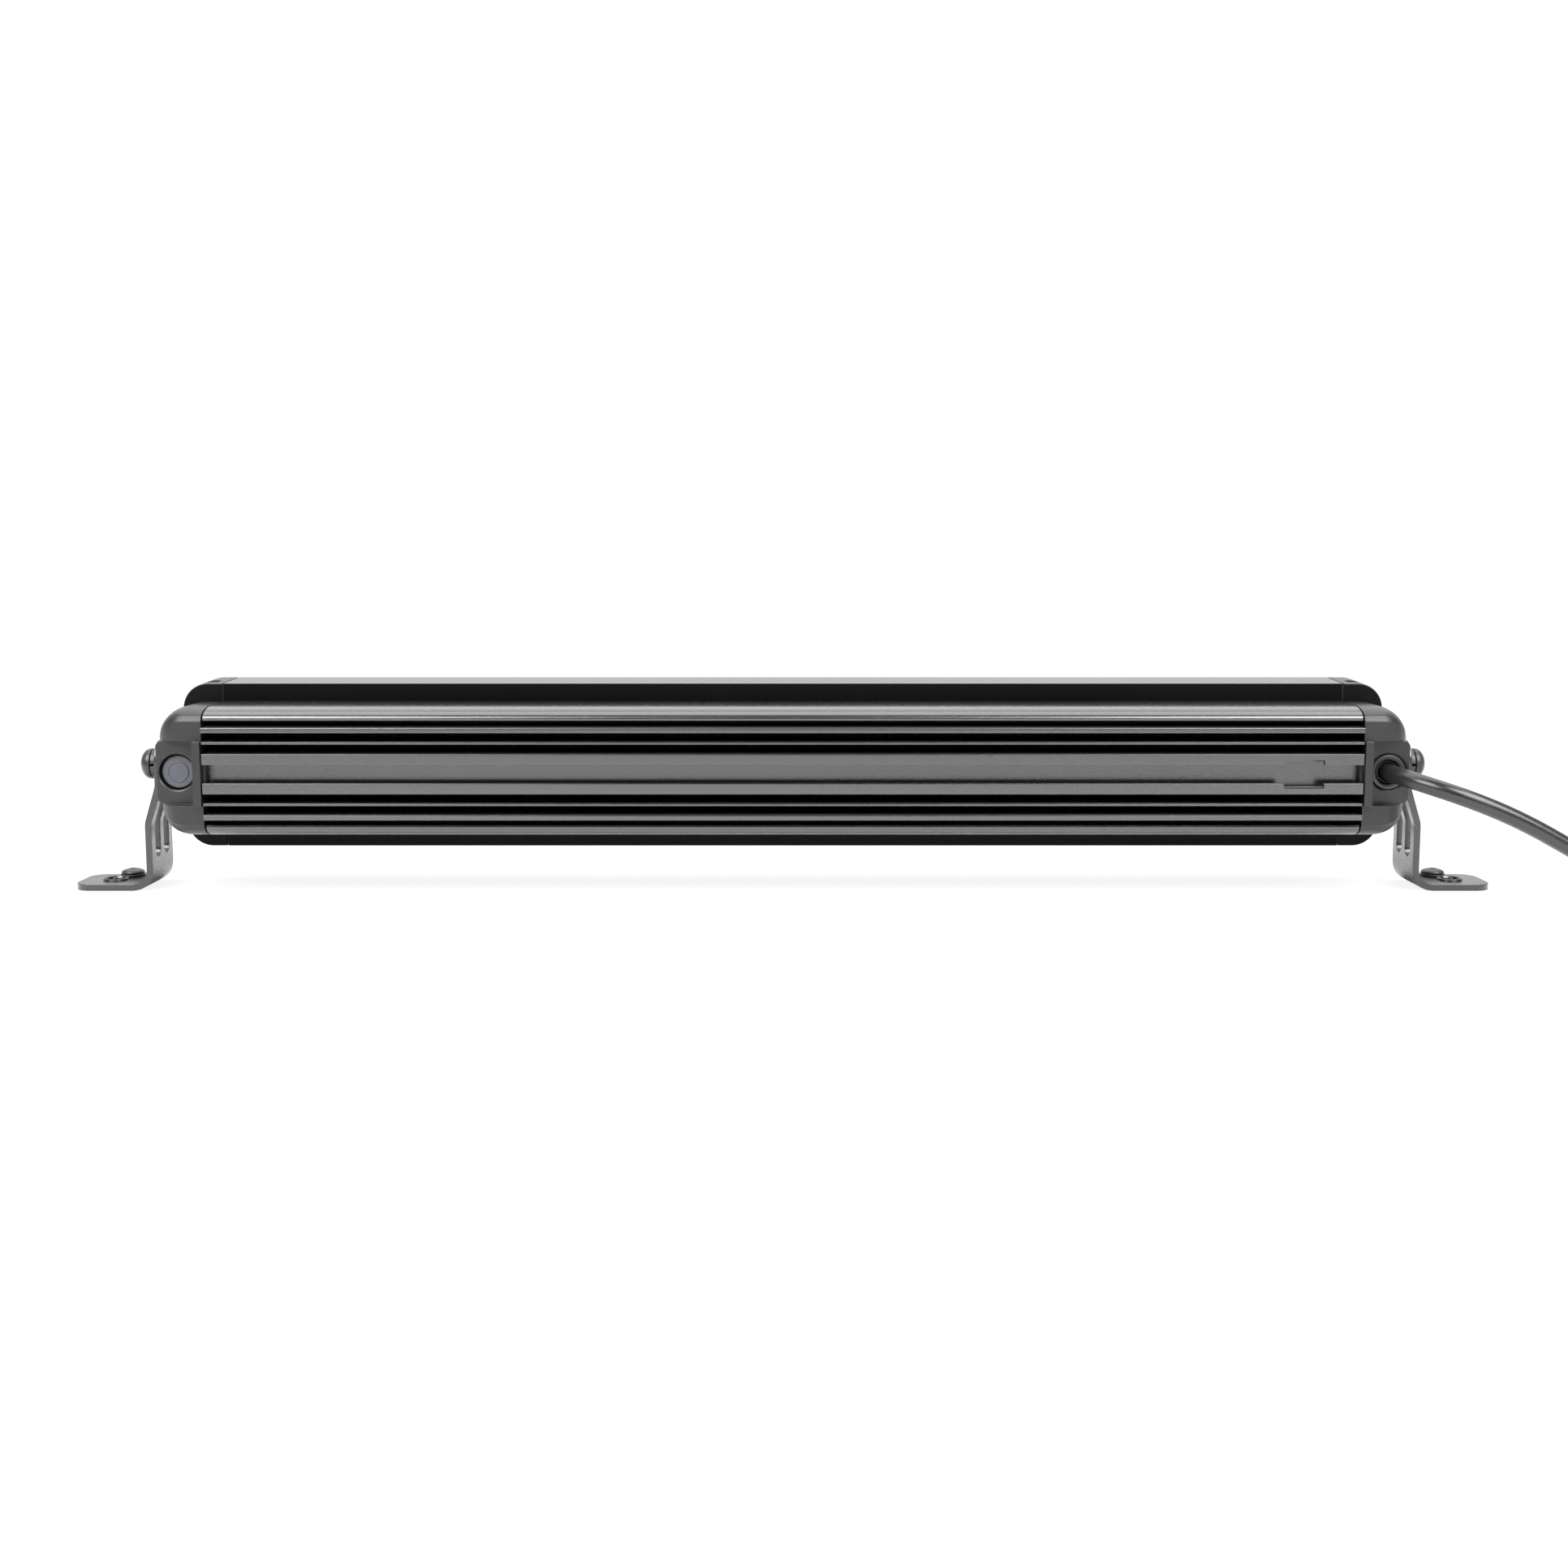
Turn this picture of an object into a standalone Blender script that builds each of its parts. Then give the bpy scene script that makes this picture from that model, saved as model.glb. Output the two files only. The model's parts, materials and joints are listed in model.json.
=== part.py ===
"""LED light bar: finned T-slot extrusion, cast end caps, tilt brackets and a coiled lead.

While modelling, X runs along the bar, Y from the fin tips towards the beam, and Z up from the
middle of the T-slot. The empty bar_axis lifts the bar onto its feet, which stand on Z = 0.
"""

import math

import bmesh
import bpy
from mathutils import Matrix, Vector

MM = 0.001
GAP = 0.3 * MM
BAR_HEIGHT = 58.0 * MM

# Bar: half lengths along X
EXTRUSION_HALF = 266.2 * MM
CAP_START = 267.0 * MM
CAP_SIDE = 290.0 * MM
FLANGE_END = 285.6 * MM

# Bar: section, as depth Y and height Z
SLOT_MOUTH = 4.2 * MM
SLOT_HALF = 7.1 * MM
SLOT_FLOOR = 8.6 * MM
LIP_DEPTH = 2.3 * MM
LIP_TOP = 9.3 * MM
SLOT_WEB = 11.0 * MM
THIN_FIN = (13.6 * MM, 14.8 * MM)
THIN_FIN_START = 0.6 * MM
THICK_FIN = (18.9 * MM, 21.4 * MM)
FIN_ROOT = 24.5 * MM
PORT_ROOT = 17.5 * MM
BASE_FRONT = 29.0 * MM
SHOULDER_TIP = (4.0 * MM, 25.0 * MM)
SHOULDER_BACK = 20.0 * MM
BODY_HALF = 30.3 * MM
CAVITY_HALF = 27.5 * MM
FLANGE_REAR = 38.0 * MM
FLANGE_WEB = 47.5 * MM
FLANGE_FRONT = 66.0 * MM
FLANGE_HALF_REAR = 39.0 * MM
FLANGE_HALF_FRONT = 40.2 * MM
POCKET_HALF = 37.2 * MM
LIP_HALF = 34.2 * MM
LIP_BACK = 63.9 * MM
NOTCH_X = (229.7 * MM, 248.3 * MM)
NOTCH_HALF = 6.6 * MM

# End cap
CAP_REAR = 3.2 * MM
CAP_ROUND = 15.0 * MM
CAP_ROUND_START = 274.6 * MM
CAP_BULGE_FRONT = 46.0 * MM
FLANGE_CORNER = 12.0 * MM
BOSS_FACE = 8.5 * MM
BOSS_HALF = 14.6 * MM
STRIP_END = 270.8 * MM
STRIP_HALF = 15.0 * MM
PORT_X = 280.3 * MM
PORT_RADIUS = 8.4 * MM
PORT_BOTTOM = 18.0 * MM
LEAD_HOLE = 4.4 * MM
CAP_SCREWS = ((21.5 * MM, 22.6 * MM, 281.0 * MM), (42.8 * MM, 31.5 * MM, 279.5 * MM))
SCREW_HOLE = 2.1 * MM
SCREW_WELL = 3.9 * MM
SCREW_DEPTH = 12.0 * MM

# Optics and boards
PAD = (29.3 * MM, 29.8 * MM)
BOARD = (30.1 * MM, 31.7 * MM)
BOARD_HALF = (258.0 * MM, 26.5 * MM)
LED_TOP = 32.5 * MM
LED_HALF = 1.7 * MM
REFLECTOR = (33.0 * MM, 57.3 * MM)
REFLECTOR_HALF = 262.0 * MM
CUPS = 16
CUP_PITCH = 32.4 * MM
CUP_ROW = 15.9 * MM
CUP_MOUTH = 15.1 * MM
CUP_THROAT = 3.0 * MM
REFLECTOR_STEP = 48.0 * MM
SEAL = (58.2 * MM, 63.6 * MM)
LENS = (60.2 * MM, 63.3 * MM)
LENS_HALF = (276.5 * MM, 35.6 * MM)
POCKET_END = 281.5 * MM
DENT_X = (270.5 * MM, 277.5 * MM)
DENT_Y = (44 * MM, 52 * MM)
BOARD_SCREWS_X = (-194.4 * MM, -64.8 * MM, 64.8 * MM, 194.4 * MM)

# Tilt pivot and brackets
PIVOT = (36.0 * MM, 1.0 * MM)
BOLT_RADIUS = 3.7 * MM
BRACKET_INNER = 292.1 * MM
PLATE = 3.0 * MM
PLATE_HALF_WIDTH = 15.0 * MM
LEG_SPREAD = 5.4 * MM
LEG_TOP = 13.0 * MM
FOOT_END = 336.0 * MM
FOOT_HOLE = (320.0 * MM, -1.0 * MM)
FOOT_HOLE_RADIUS = 4.4 * MM
FOOT_SCREW = (315.6 * MM, 10.2 * MM)
FOOT_SCREW_HEAD = 5.45 * MM
LEG_SLOT_OFFSET = 6.15 * MM
LEG_SLOT_RADIUS = 3.9 * MM
LEG_SLOT_ENDS = (-11.0 * MM, -42.7 * MM)

# Lead: a free cable of 8 mm, wound into a coil beside the bar
LEAD_RADIUS = 4.0 * MM
COIL_CENTRE = (432.0 * MM, 17.0 * MM)
COIL_RADII = (35.8 * MM, 52.2 * MM)
COIL_LEVELS = (-57.0 * MM, -42.0 * MM)
TIE_THICKNESS = 0.65 * MM
PLUG_START = 480.0 * MM
PLUG_AXIS = (-27.6 * MM, -49.4 * MM)
PLUG_HALF = (8.0 * MM, 8.5 * MM)
TAIL_ROUTE = ((465.6, -27.4, -47.9), (472.5, -27.6, -49.0), (479.7, -27.6, -49.4))
LEAD_ROUTE = (
    (280.3, 22.0, 0.0),
    (280.3, 15.0, 0.0),
    (280.3, 8.5, 0.0),
    (281.4, -1.5, -0.4),
    (286.2, -12.5, -1.8),
    (295.6, -20.3, -4.7),
    (307.6, -24.2, -8.8),
    (321.0, -25.8, -14.2),
    (335.0, -26.5, -20.9),
    (349.5, -27.0, -28.9),
    (364.0, -27.7, -37.1),
    (378.0, -28.6, -44.4),
    (391.0, -29.6, -49.4),
    (402.4, -30.4, -51.8),
)

COLOURS = {
    "black_anodised": ((0.018, 0.018, 0.020), 0.34, 0.9),
    "black_cast": ((0.020, 0.020, 0.021), 0.42, 0.6),
    "black_steel": ((0.020, 0.020, 0.022), 0.30, 0.8),
    "black_plate": ((0.022, 0.022, 0.023), 0.33, 0.6),
    "black_rubber": ((0.012, 0.012, 0.013), 0.60, 0.0),
    "lead_jacket": ((0.014, 0.014, 0.015), 0.35, 0.0),
    "vent_plastic": ((0.100, 0.105, 0.125), 0.45, 0.0),
    "nylon": ((0.030, 0.030, 0.030), 0.50, 0.0),
    "clear_lens": ((0.900, 0.930, 0.950), 0.05, 0.0),
    "mirror_coat": ((0.850, 0.860, 0.880), 0.12, 1.0),
    "board_white": ((0.750, 0.760, 0.740), 0.50, 0.0),
    "board_green": ((0.030, 0.160, 0.070), 0.45, 0.0),
    "thermal_grey": ((0.350, 0.360, 0.380), 0.80, 0.0),
    "flex_film": ((0.500, 0.250, 0.040), 0.40, 0.0),
    "wire_red": ((0.450, 0.020, 0.020), 0.45, 0.0),
    "wire_black": ((0.015, 0.015, 0.015), 0.45, 0.0),
    "plug_plastic": ((0.030, 0.030, 0.032), 0.40, 0.0),
    "seal_red": ((0.450, 0.060, 0.030), 0.55, 0.0),
    "wedge_orange": ((0.750, 0.220, 0.030), 0.45, 0.0),
    "tin_plate": ((0.700, 0.700, 0.680), 0.25, 1.0),
}

AXIS_TURNS = {
    "X": Matrix.Rotation(math.radians(90), 4, "Y"),
    "Y": Matrix.Rotation(math.radians(-90), 4, "X"),
    "Z": Matrix.Identity(4),
}


# ---- Scene and mesh helpers ----


def clear_scene():
    for obj in list(bpy.data.objects):
        bpy.data.objects.remove(obj, do_unlink=True)


def make_materials():
    for name, (colour, roughness, metallic) in COLOURS.items():
        material = bpy.data.materials.new(name)
        material.use_nodes = True
        shader = material.node_tree.nodes["Principled BSDF"]
        shader.inputs["Base Color"].default_value = (*colour, 1.0)
        shader.inputs["Roughness"].default_value = roughness
        shader.inputs["Metallic"].default_value = metallic


def place_empty(name, location, parent=None):
    empty = bpy.data.objects.new(name, None)
    empty.location = location
    empty.parent = parent
    bpy.context.scene.collection.objects.link(empty)
    return empty


def new_object(name, data, material, parent):
    """An object with a material is a piece; one without is a hidden helper."""
    obj = bpy.data.objects.new(name, data)
    obj.parent = parent
    bpy.context.scene.collection.objects.link(obj)
    if material:
        data.materials.append(bpy.data.materials[material])
    else:
        obj.hide_render = True
        obj.display_type = "WIRE"
    return obj


def object_from(name, bm, material, parent):
    """Writes the bmesh to a new object with its faces outwards and its round parts smooth."""
    bmesh.ops.recalc_face_normals(bm, faces=bm.faces)
    mesh = bpy.data.meshes.new(name)
    bm.to_mesh(mesh)
    bm.free()
    mesh.shade_smooth()
    mesh.set_sharp_from_angle(angle=math.radians(35))
    return new_object(name, mesh, material, parent)


def loft(name, sections, material, parent):
    """Joins closed sections of equal point count, and closes both ends."""
    bm = bmesh.new()
    rings = [[bm.verts.new(point) for point in section] for section in sections]
    for ring_points, following in zip(rings, rings[1:]):
        for i in range(len(ring_points)):
            bm.faces.new((ring_points[i], ring_points[i - 1], following[i - 1], following[i]))
    bm.faces.new(rings[0])
    bm.faces.new(rings[-1])
    return object_from(name, bm, material, parent)


def along_x(outline, x):
    return [(x, y, z) for y, z in outline]


def prism_x(name, outline, start, end, material, parent):
    """Extrudes a (Y, Z) outline along X."""
    return loft(name, [along_x(outline, start), along_x(outline, end)], material, parent)


def prism_y(name, outline, start, end, material, parent):
    """Extrudes an (X, Z) outline along Y."""
    sections = [[(x, y, z) for x, z in outline] for y in (start, end)]
    return loft(name, sections, material, parent)


def box(name, x_range, y_range, z_range, material, parent):
    outline = [(y_range[0], z_range[0]), (y_range[1], z_range[0])]
    outline += [(y_range[1], z_range[1]), (y_range[0], z_range[1])]
    return prism_x(name, outline, x_range[0], x_range[1], material, parent)


def turned(name, profile, axis, place, material, parent, steps=20):
    """Turns a closed (radius, along) profile about an axis; radius 0 makes a pole."""
    bm = bmesh.new()
    angles = [math.tau * i / steps for i in range(steps)]
    rings = []
    for radius, along in profile:
        if radius == 0:
            rings.append([bm.verts.new((0, 0, along))] * steps)
        else:
            rings.append([bm.verts.new((radius * math.cos(a), radius * math.sin(a), along)) for a in angles])
    for ring_points, following in zip(rings, rings[1:] + rings[:1]):
        for i in range(steps):
            corners = (ring_points[i], ring_points[i - 1], following[i - 1], following[i])
            corners = list(dict.fromkeys(corners))
            if len(corners) > 2:
                bm.faces.new(corners)
    turn = Matrix.Translation(place) @ AXIS_TURNS[axis]
    bmesh.ops.transform(bm, matrix=turn, verts=bm.verts)
    return object_from(name, bm, material, parent)


def rod(name, radius, start, end, axis, place, material, parent, steps=20):
    profile = [(0, start), (radius, start), (radius, end), (0, end)]
    return turned(name, profile, axis, place, material, parent, steps)


def ring(name, inner, outer, start, end, axis, place, material, parent, steps=20):
    profile = [(inner, start), (outer, start), (outer, end), (inner, end)]
    return turned(name, profile, axis, place, material, parent, steps)


def gathered(name, helpers, parent):
    """Puts helpers that don't touch each other into one helper."""
    bm = bmesh.new()
    for one in helpers:
        bm.from_mesh(one.data)
        bpy.data.objects.remove(one)
    return object_from(name, bm, None, parent)


def combine(obj, operation, *helpers):
    for one in helpers:
        modifier = obj.modifiers.new(one.name, "BOOLEAN")
        modifier.operation = operation
        modifier.object = one


def join(obj, *helpers):
    combine(obj, "UNION", *helpers)


def cut(obj, *helpers):
    combine(obj, "DIFFERENCE", *helpers)


def smooth_route(points, spacing):
    """Points at about equal spacing along a smooth curve through the given ones, in millimetres."""
    points = [Vector(point) * MM for point in points]
    knots = [2 * points[0] - points[1], *points, 2 * points[-1] - points[-2]]
    fine = []
    for a, b, c, d in zip(knots, knots[1:], knots[2:], knots[3:]):
        for i in range(16):
            t = i / 16
            bend = (2 * a - 5 * b + 4 * c - d) * t**2 + (3 * b - a - 3 * c + d) * t**3
            fine.append(b + ((c - a) * t + bend) / 2)
    fine.append(points[-1])
    picked = [fine[0]]
    travelled = 0
    for before, after in zip(fine, fine[1:]):
        travelled += (after - before).length
        if travelled >= spacing:
            picked.append(after)
            travelled = 0
    if travelled < spacing / 2:
        picked.pop()
    return [*picked, fine[-1]]


def tube(name, route, radius, spacing, sides, material, parent):
    """A cord along a smooth route; sides is the curve's bevel resolution."""
    curve = bpy.data.curves.new(name, "CURVE")
    curve.dimensions = "3D"
    curve.bevel_depth = radius
    curve.bevel_resolution = sides
    curve.use_fill_caps = True
    points = smooth_route(route, spacing)
    spline = curve.splines.new("POLY")
    spline.points.add(len(points) - 1)
    for point, place in zip(spline.points, points):
        point.co = (*place, 1)
    return new_object(name, curve, material, parent)


def arc(centre, radii, start, end, steps):
    """Points of an ellipse arc; angles in degrees from the first axis."""
    angles = [math.radians(start + (end - start) * i / steps) for i in range(steps + 1)]
    return [(centre[0] + radii[0] * math.cos(a), centre[1] + radii[1] * math.sin(a)) for a in angles]


def mirrored(upper):
    """Closes an upper half outline by its mirror image below zero."""
    return upper + [(along, -up) for along, up in reversed(upper)]


def rounded_end(start, end, half, radius, side):
    """An (X, Z) outline that is square at start and has two round corners at end."""
    upper = [(start, half)] + arc((end - radius, half - radius), (radius, radius), 90, 0, 6)
    return [(side * x, z) for x, z in mirrored(upper)]


def rounded_plate(half_x, half_z, radius):
    right = arc((half_x - radius, half_z - radius), (radius, radius), 0, 90, 5)
    return mirrored(right + [(-x, z) for x, z in reversed(right)])


def span(side, start, end):
    """Two X values on one side of the bar, in rising order."""
    return sorted((side * start, side * end))


def side_name(side):
    return "left" if side < 0 else "right"


def screw_points():
    """(name, Y, Z, seat) of the four screws at one end."""
    rows = []
    for number, (y, z, seat) in enumerate(CAP_SCREWS):
        rows.append((2 * number + 1, y, z, seat))
        rows.append((2 * number + 2, y, -z, seat))
    return rows


def shoulder():
    """The round shoulder of the bar, from its flat top down to its rear edge."""
    radii = (SHOULDER_BACK - SHOULDER_TIP[0], BODY_HALF - SHOULDER_TIP[1])
    return arc((SHOULDER_BACK, SHOULDER_TIP[1]), radii, 90, 180, 7)


# ---- Housing ----


def extrusion_outline():
    port_top = SHOULDER_TIP[1] - 0.8 * MM
    slot = [(SLOT_FLOOR, SLOT_HALF), (LIP_DEPTH, SLOT_HALF), (LIP_DEPTH, SLOT_MOUTH), (0, SLOT_MOUTH)]
    fins = [(0, LIP_TOP), (FIN_ROOT, LIP_TOP)]
    fins += [(FIN_ROOT, THIN_FIN[0]), (THIN_FIN_START, THIN_FIN[0])]
    fins += [(THIN_FIN_START, THIN_FIN[1]), (FIN_ROOT, THIN_FIN[1])]
    fins += [(FIN_ROOT, THICK_FIN[0]), (0, THICK_FIN[0]), (0, THICK_FIN[1]), (PORT_ROOT, THICK_FIN[1])]
    fins += [(PORT_ROOT, port_top), (SHOULDER_TIP[0] + 0.2 * MM, port_top)]
    flange = [(FLANGE_REAR, BODY_HALF), (FLANGE_REAR, FLANGE_HALF_REAR), (FLANGE_FRONT, FLANGE_HALF_FRONT)]
    flange += [(FLANGE_FRONT, LIP_HALF), (LIP_BACK, LIP_HALF), (LIP_BACK, POCKET_HALF)]
    flange += [(FLANGE_WEB, POCKET_HALF), (FLANGE_WEB, CAVITY_HALF), (BASE_FRONT, CAVITY_HALF)]
    return mirrored(slot + fins + list(reversed(shoulder())) + flange)


def make_extrusion(parent):
    outline = extrusion_outline()
    bar = prism_x("housing_extrusion", outline, -EXTRUSION_HALF, EXTRUSION_HALF, "black_anodised", parent)
    beyond = EXTRUSION_HALF + 5 * MM
    hollow_z = (-SLOT_HALF, SLOT_HALF)
    hollow = box("cut_slot_hollow", (-beyond, beyond), (SLOT_WEB, FIN_ROOT), hollow_z, None, parent)
    notch_z = (-NOTCH_HALF, NOTCH_HALF)
    notch = box("cut_slot_notch", NOTCH_X, (-2 * MM, LIP_DEPTH + 1 * MM), notch_z, None, parent)
    holes = []
    for side in (-1, 1):
        for number, y, z, _ in screw_points():
            reach = span(side, EXTRUSION_HALF - SCREW_DEPTH, beyond)
            holes.append(rod(f"hole_{side}_{number}", SCREW_HOLE, *reach, "X", (0, y, z), None, parent, 10))
    for x in BOARD_SCREWS_X:
        reach = (FIN_ROOT + 1 * MM, BASE_FRONT + 3 * MM)
        holes.append(rod("hole_board", 1.5 * MM, *reach, "Y", (x, 0, 0), None, parent, 8))
    cut(bar, hollow, notch, gathered("cut_screw_holes", holes, parent))


def bulge_sections(side):
    """The rounded body of an end cap: the bar's section, drawn in towards the outer side."""
    rear = (CAP_REAR, SHOULDER_TIP[1] - 1 * MM)
    outline = mirrored([(CAP_BULGE_FRONT, BODY_HALF), *shoulder(), rear])
    middle = PIVOT[0]
    steps = 8
    sections = [along_x(outline, side * CAP_START)]
    for i in range(steps + 1):
        angle = math.radians(90 * i / steps)
        inset = CAP_ROUND * (1 - math.cos(angle))
        x = side * (CAP_ROUND_START + (CAP_SIDE - CAP_ROUND_START) * math.sin(angle))
        deep = 1 - inset / (middle - CAP_REAR)
        high = 1 - inset / BODY_HALF
        sections.append([(x, max(y, middle + (y - middle) * deep), z * high) for y, z in outline])
    return sections


def cap_boss(side, parent):
    """The flat square around the rear port; it has a chamfer above and a round corner below."""
    inner = STRIP_END - 1 * MM
    outline = [(inner, BOSS_HALF), (CAP_SIDE - 2 * MM, BOSS_HALF), (CAP_SIDE, BOSS_HALF - 2 * MM)]
    outline += arc((CAP_SIDE - 3 * MM, 3 * MM - BOSS_HALF), (3 * MM, 3 * MM), 0, -90, 3)
    outline += [(inner, -BOSS_HALF)]
    outline = [(side * x, z) for x, z in outline]
    return prism_y(f"join_boss_{side_name(side)}", outline, BOSS_FACE, 30 * MM, None, parent)


def make_cap(side, parent):
    name = side_name(side)
    inside = CAP_START - 3 * MM
    outside = CAP_SIDE + 5 * MM
    cap = loft(f"end_cap_{name}", bulge_sections(side), "black_cast", parent)

    sections = []
    for y, half in ((FLANGE_REAR, FLANGE_HALF_REAR), (FLANGE_FRONT, FLANGE_HALF_FRONT)):
        outline = rounded_end(CAP_START, FLANGE_END, half, FLANGE_CORNER, side)
        sections.append([(x, y, z) for x, z in outline])
    flange = loft(f"join_flange_{name}", sections, None, parent)
    strip_z = (-STRIP_HALF, STRIP_HALF)
    strip_x = span(side, CAP_START, STRIP_END)
    strip = box(f"join_strip_{name}", strip_x, (0.2 * MM, 12 * MM), strip_z, None, parent)
    tongue_x = span(side, 261.5 * MM, CAP_START + 2 * MM)
    tongue = box(f"join_tongue_{name}", tongue_x, (2.7 * MM, 8.2 * MM), (-6.7 * MM, 6.7 * MM), None, parent)
    join(cap, flange, strip, tongue)
    recess_x = span(side, STRIP_END, outside)
    cut(cap, box(f"cut_recess_{name}", recess_x, (-5 * MM, BOSS_FACE), strip_z, None, parent))
    join(cap, cap_boss(side, parent))

    port = (side * PORT_X, 0, 0)
    pocket_y = (BOSS_FACE - 3 * MM, PORT_BOTTOM)
    pocket = rod(f"cut_port_{name}", PORT_RADIUS, *pocket_y, "Y", port, None, parent, 28)
    throat = rod(f"cut_throat_{name}", LEAD_HOLE, PORT_BOTTOM - 1 * MM, 21 * MM, "Y", port, None, parent, 16)
    room_x = span(side, 270 * MM, 285 * MM)
    room = box(f"cut_room_{name}", room_x, (20 * MM, 31 * MM), (-10 * MM, 10 * MM), None, parent)
    hall_x = span(side, inside, 280 * MM)
    hall_y = (BASE_FRONT, FLANGE_WEB + 1 * MM)
    hall = box(f"cut_hall_{name}", hall_x, hall_y, (-24 * MM, 24 * MM), None, parent)
    outline = rounded_end(inside, POCKET_END, POCKET_HALF, 8 * MM, side)
    lens_room = prism_y(f"cut_lens_room_{name}", outline, FLANGE_WEB, LIP_BACK, None, parent)
    outline = rounded_end(inside, POCKET_END - 3.2 * MM, LIP_HALF, 5 * MM, side)
    mouth = prism_y(f"cut_mouth_{name}", outline, LIP_BACK - 1 * MM, FLANGE_FRONT + 3 * MM, None, parent)
    thread_x = span(side, 281.5 * MM, outside)
    thread = rod(f"cut_pivot_{name}", BOLT_RADIUS + GAP, *thread_x, "X", (0, *PIVOT), None, parent)
    cut(cap, pocket, throat, room, hall, lens_room, mouth, thread)

    details = []
    for number, y, z, seat in screw_points():
        hole_x = span(side, inside, seat)
        well_x = span(side, seat, outside)
        place = (0, y, z)
        details.append(rod(f"hole_{number}", SCREW_HOLE + 0.2 * MM, *hole_x, "X", place, None, parent, 10))
        details.append(rod(f"well_{number}", SCREW_WELL, *well_x, "X", place, None, parent, 16))
    holes = gathered(f"cut_holes_{name}", details[::2], parent)
    wells = gathered(f"cut_wells_{name}", details[1::2], parent)
    dents = []
    dent_x = span(side, *DENT_X)
    for up in (-1, 1):
        dent_z = sorted((up * (FLANGE_HALF_REAR - 1.2 * MM), up * (FLANGE_HALF_FRONT + 2 * MM)))
        dents.append(box(f"dent_{up}", dent_x, DENT_Y, dent_z, None, parent))
    cut(cap, holes, wells, gathered(f"cut_dents_{name}", dents, parent))


def make_gasket(side, parent):
    """A flat frame between bar and cap, open at the front where the lens seal takes over."""
    rim = 0.5 * MM
    lobe = CAP_SCREWS[0][0] - 3.4 * MM
    upper = [(FIN_ROOT + rim, THICK_FIN[0] + rim), (lobe, THICK_FIN[0] + rim), (lobe, 26.6 * MM)]
    upper += [(22 * MM, BODY_HALF - rim), (FLANGE_REAR + rim, BODY_HALF - rim)]
    upper += [(FLANGE_REAR + rim, FLANGE_HALF_REAR - rim), (FLANGE_FRONT - rim, FLANGE_HALF_FRONT - rim)]
    upper += [(FLANGE_FRONT - rim, POCKET_HALF + rim), (FLANGE_WEB - rim, POCKET_HALF + rim)]
    upper += [(FLANGE_WEB - rim, CAVITY_HALF + rim), (BASE_FRONT - rim, CAVITY_HALF + rim)]
    thickness = span(side, EXTRUSION_HALF + GAP / 2, CAP_START - GAP / 2)
    gasket = prism_x(f"end_gasket_{side_name(side)}", mirrored(upper), *thickness, "black_rubber", parent)
    reach = span(side, EXTRUSION_HALF - 2 * MM, CAP_START + 2 * MM)
    holes = []
    for number, y, z, _ in screw_points():
        holes.append(rod(f"hole_{number}", SCREW_HOLE, *reach, "X", (0, y, z), None, parent, 10))
    cut(gasket, gathered(f"cut_gasket_{side_name(side)}", holes, parent))


def socket_profile(shank, start, under_head, head, top, socket, floor):
    """Half section of a cap screw: shank, head and the socket in its top."""
    profile = [(0, start), (shank, start), (shank, under_head), (head, under_head)]
    profile += [(head, top - 0.3 * MM), (head - 0.3 * MM, top)]
    return profile + [(socket, top), (socket, floor), (0, floor)]


def make_cap_screws(side, parent):
    for number, y, z, seat in screw_points():
        base = seat + GAP
        start = EXTRUSION_HALF - SCREW_DEPTH + 1.5 * MM
        profile = socket_profile(1.8 * MM, start, base, 3.5 * MM, base + 2.4 * MM, 1.5 * MM, base + 0.9 * MM)
        profile = [(radius, side * along) for radius, along in profile]
        name = f"cap_screw_{side_name(side)}_{number}"
        turned(name, profile, "X", (0, y, z), "black_steel", parent, 12)


# ---- Optics and electronics ----


def make_lens(parent):
    outline = rounded_plate(*LENS_HALF, 6 * MM)
    prism_y("front_lens", outline, *LENS, "clear_lens", parent)
    outer = rounded_plate(POCKET_END - 0.4 * MM, POCKET_HALF - GAP, 7.6 * MM)
    seal = prism_y("lens_seal", outer, *SEAL, "black_rubber", parent)
    rebate = rounded_plate(LENS_HALF[0] + GAP, LENS_HALF[1] + GAP, 6.2 * MM)
    aperture = rounded_plate(LENS_HALF[0] - 2.2 * MM, LENS_HALF[1] - 1.9 * MM, 4.5 * MM)
    rebate = prism_y("cut_rebate", rebate, LENS[0] - GAP, LENS[1] + 2 * MM, None, parent)
    aperture = prism_y("cut_aperture", aperture, SEAL[0] - 2 * MM, LENS[0] + 1 * MM, None, parent)
    cut(seal, rebate, aperture)


def cup_places():
    return [(i - (CUPS - 1) / 2) * CUP_PITCH for i in range(CUPS)]


def make_reflector(up, parent):
    """One row of cups, moulded as a bar that is wider in front, where the housing is."""
    name = "upper" if up > 0 else "lower"
    outline = [(REFLECTOR[0], 0.6 * MM), (REFLECTOR[1], 0.6 * MM), (REFLECTOR[1], 32.4 * MM)]
    outline += [(REFLECTOR_STEP, 32.4 * MM), (REFLECTOR_STEP, CAVITY_HALF - GAP)]
    outline += [(REFLECTOR[0], CAVITY_HALF - GAP)]
    outline = [(y, up * z) for y, z in outline]
    reach = (-REFLECTOR_HALF, REFLECTOR_HALF)
    row = prism_x(f"reflector_{name}", outline, *reach, "mirror_coat", parent)
    waist = 0.62 * CUP_MOUTH
    back = REFLECTOR[0]
    profile = [(0, back - 1 * MM), (CUP_THROAT, back - 1 * MM), (CUP_THROAT, back + 1 * MM)]
    profile += [(waist, 43.0 * MM), (CUP_MOUTH, REFLECTOR[1] + 0.1 * MM), (0, REFLECTOR[1] + 0.1 * MM)]
    cups = [turned("cup", profile, "Y", (x, 0, up * CUP_ROW), None, parent, 10) for x in cup_places()]
    cut(row, gathered(f"cut_cups_{name}", cups, parent))


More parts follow.
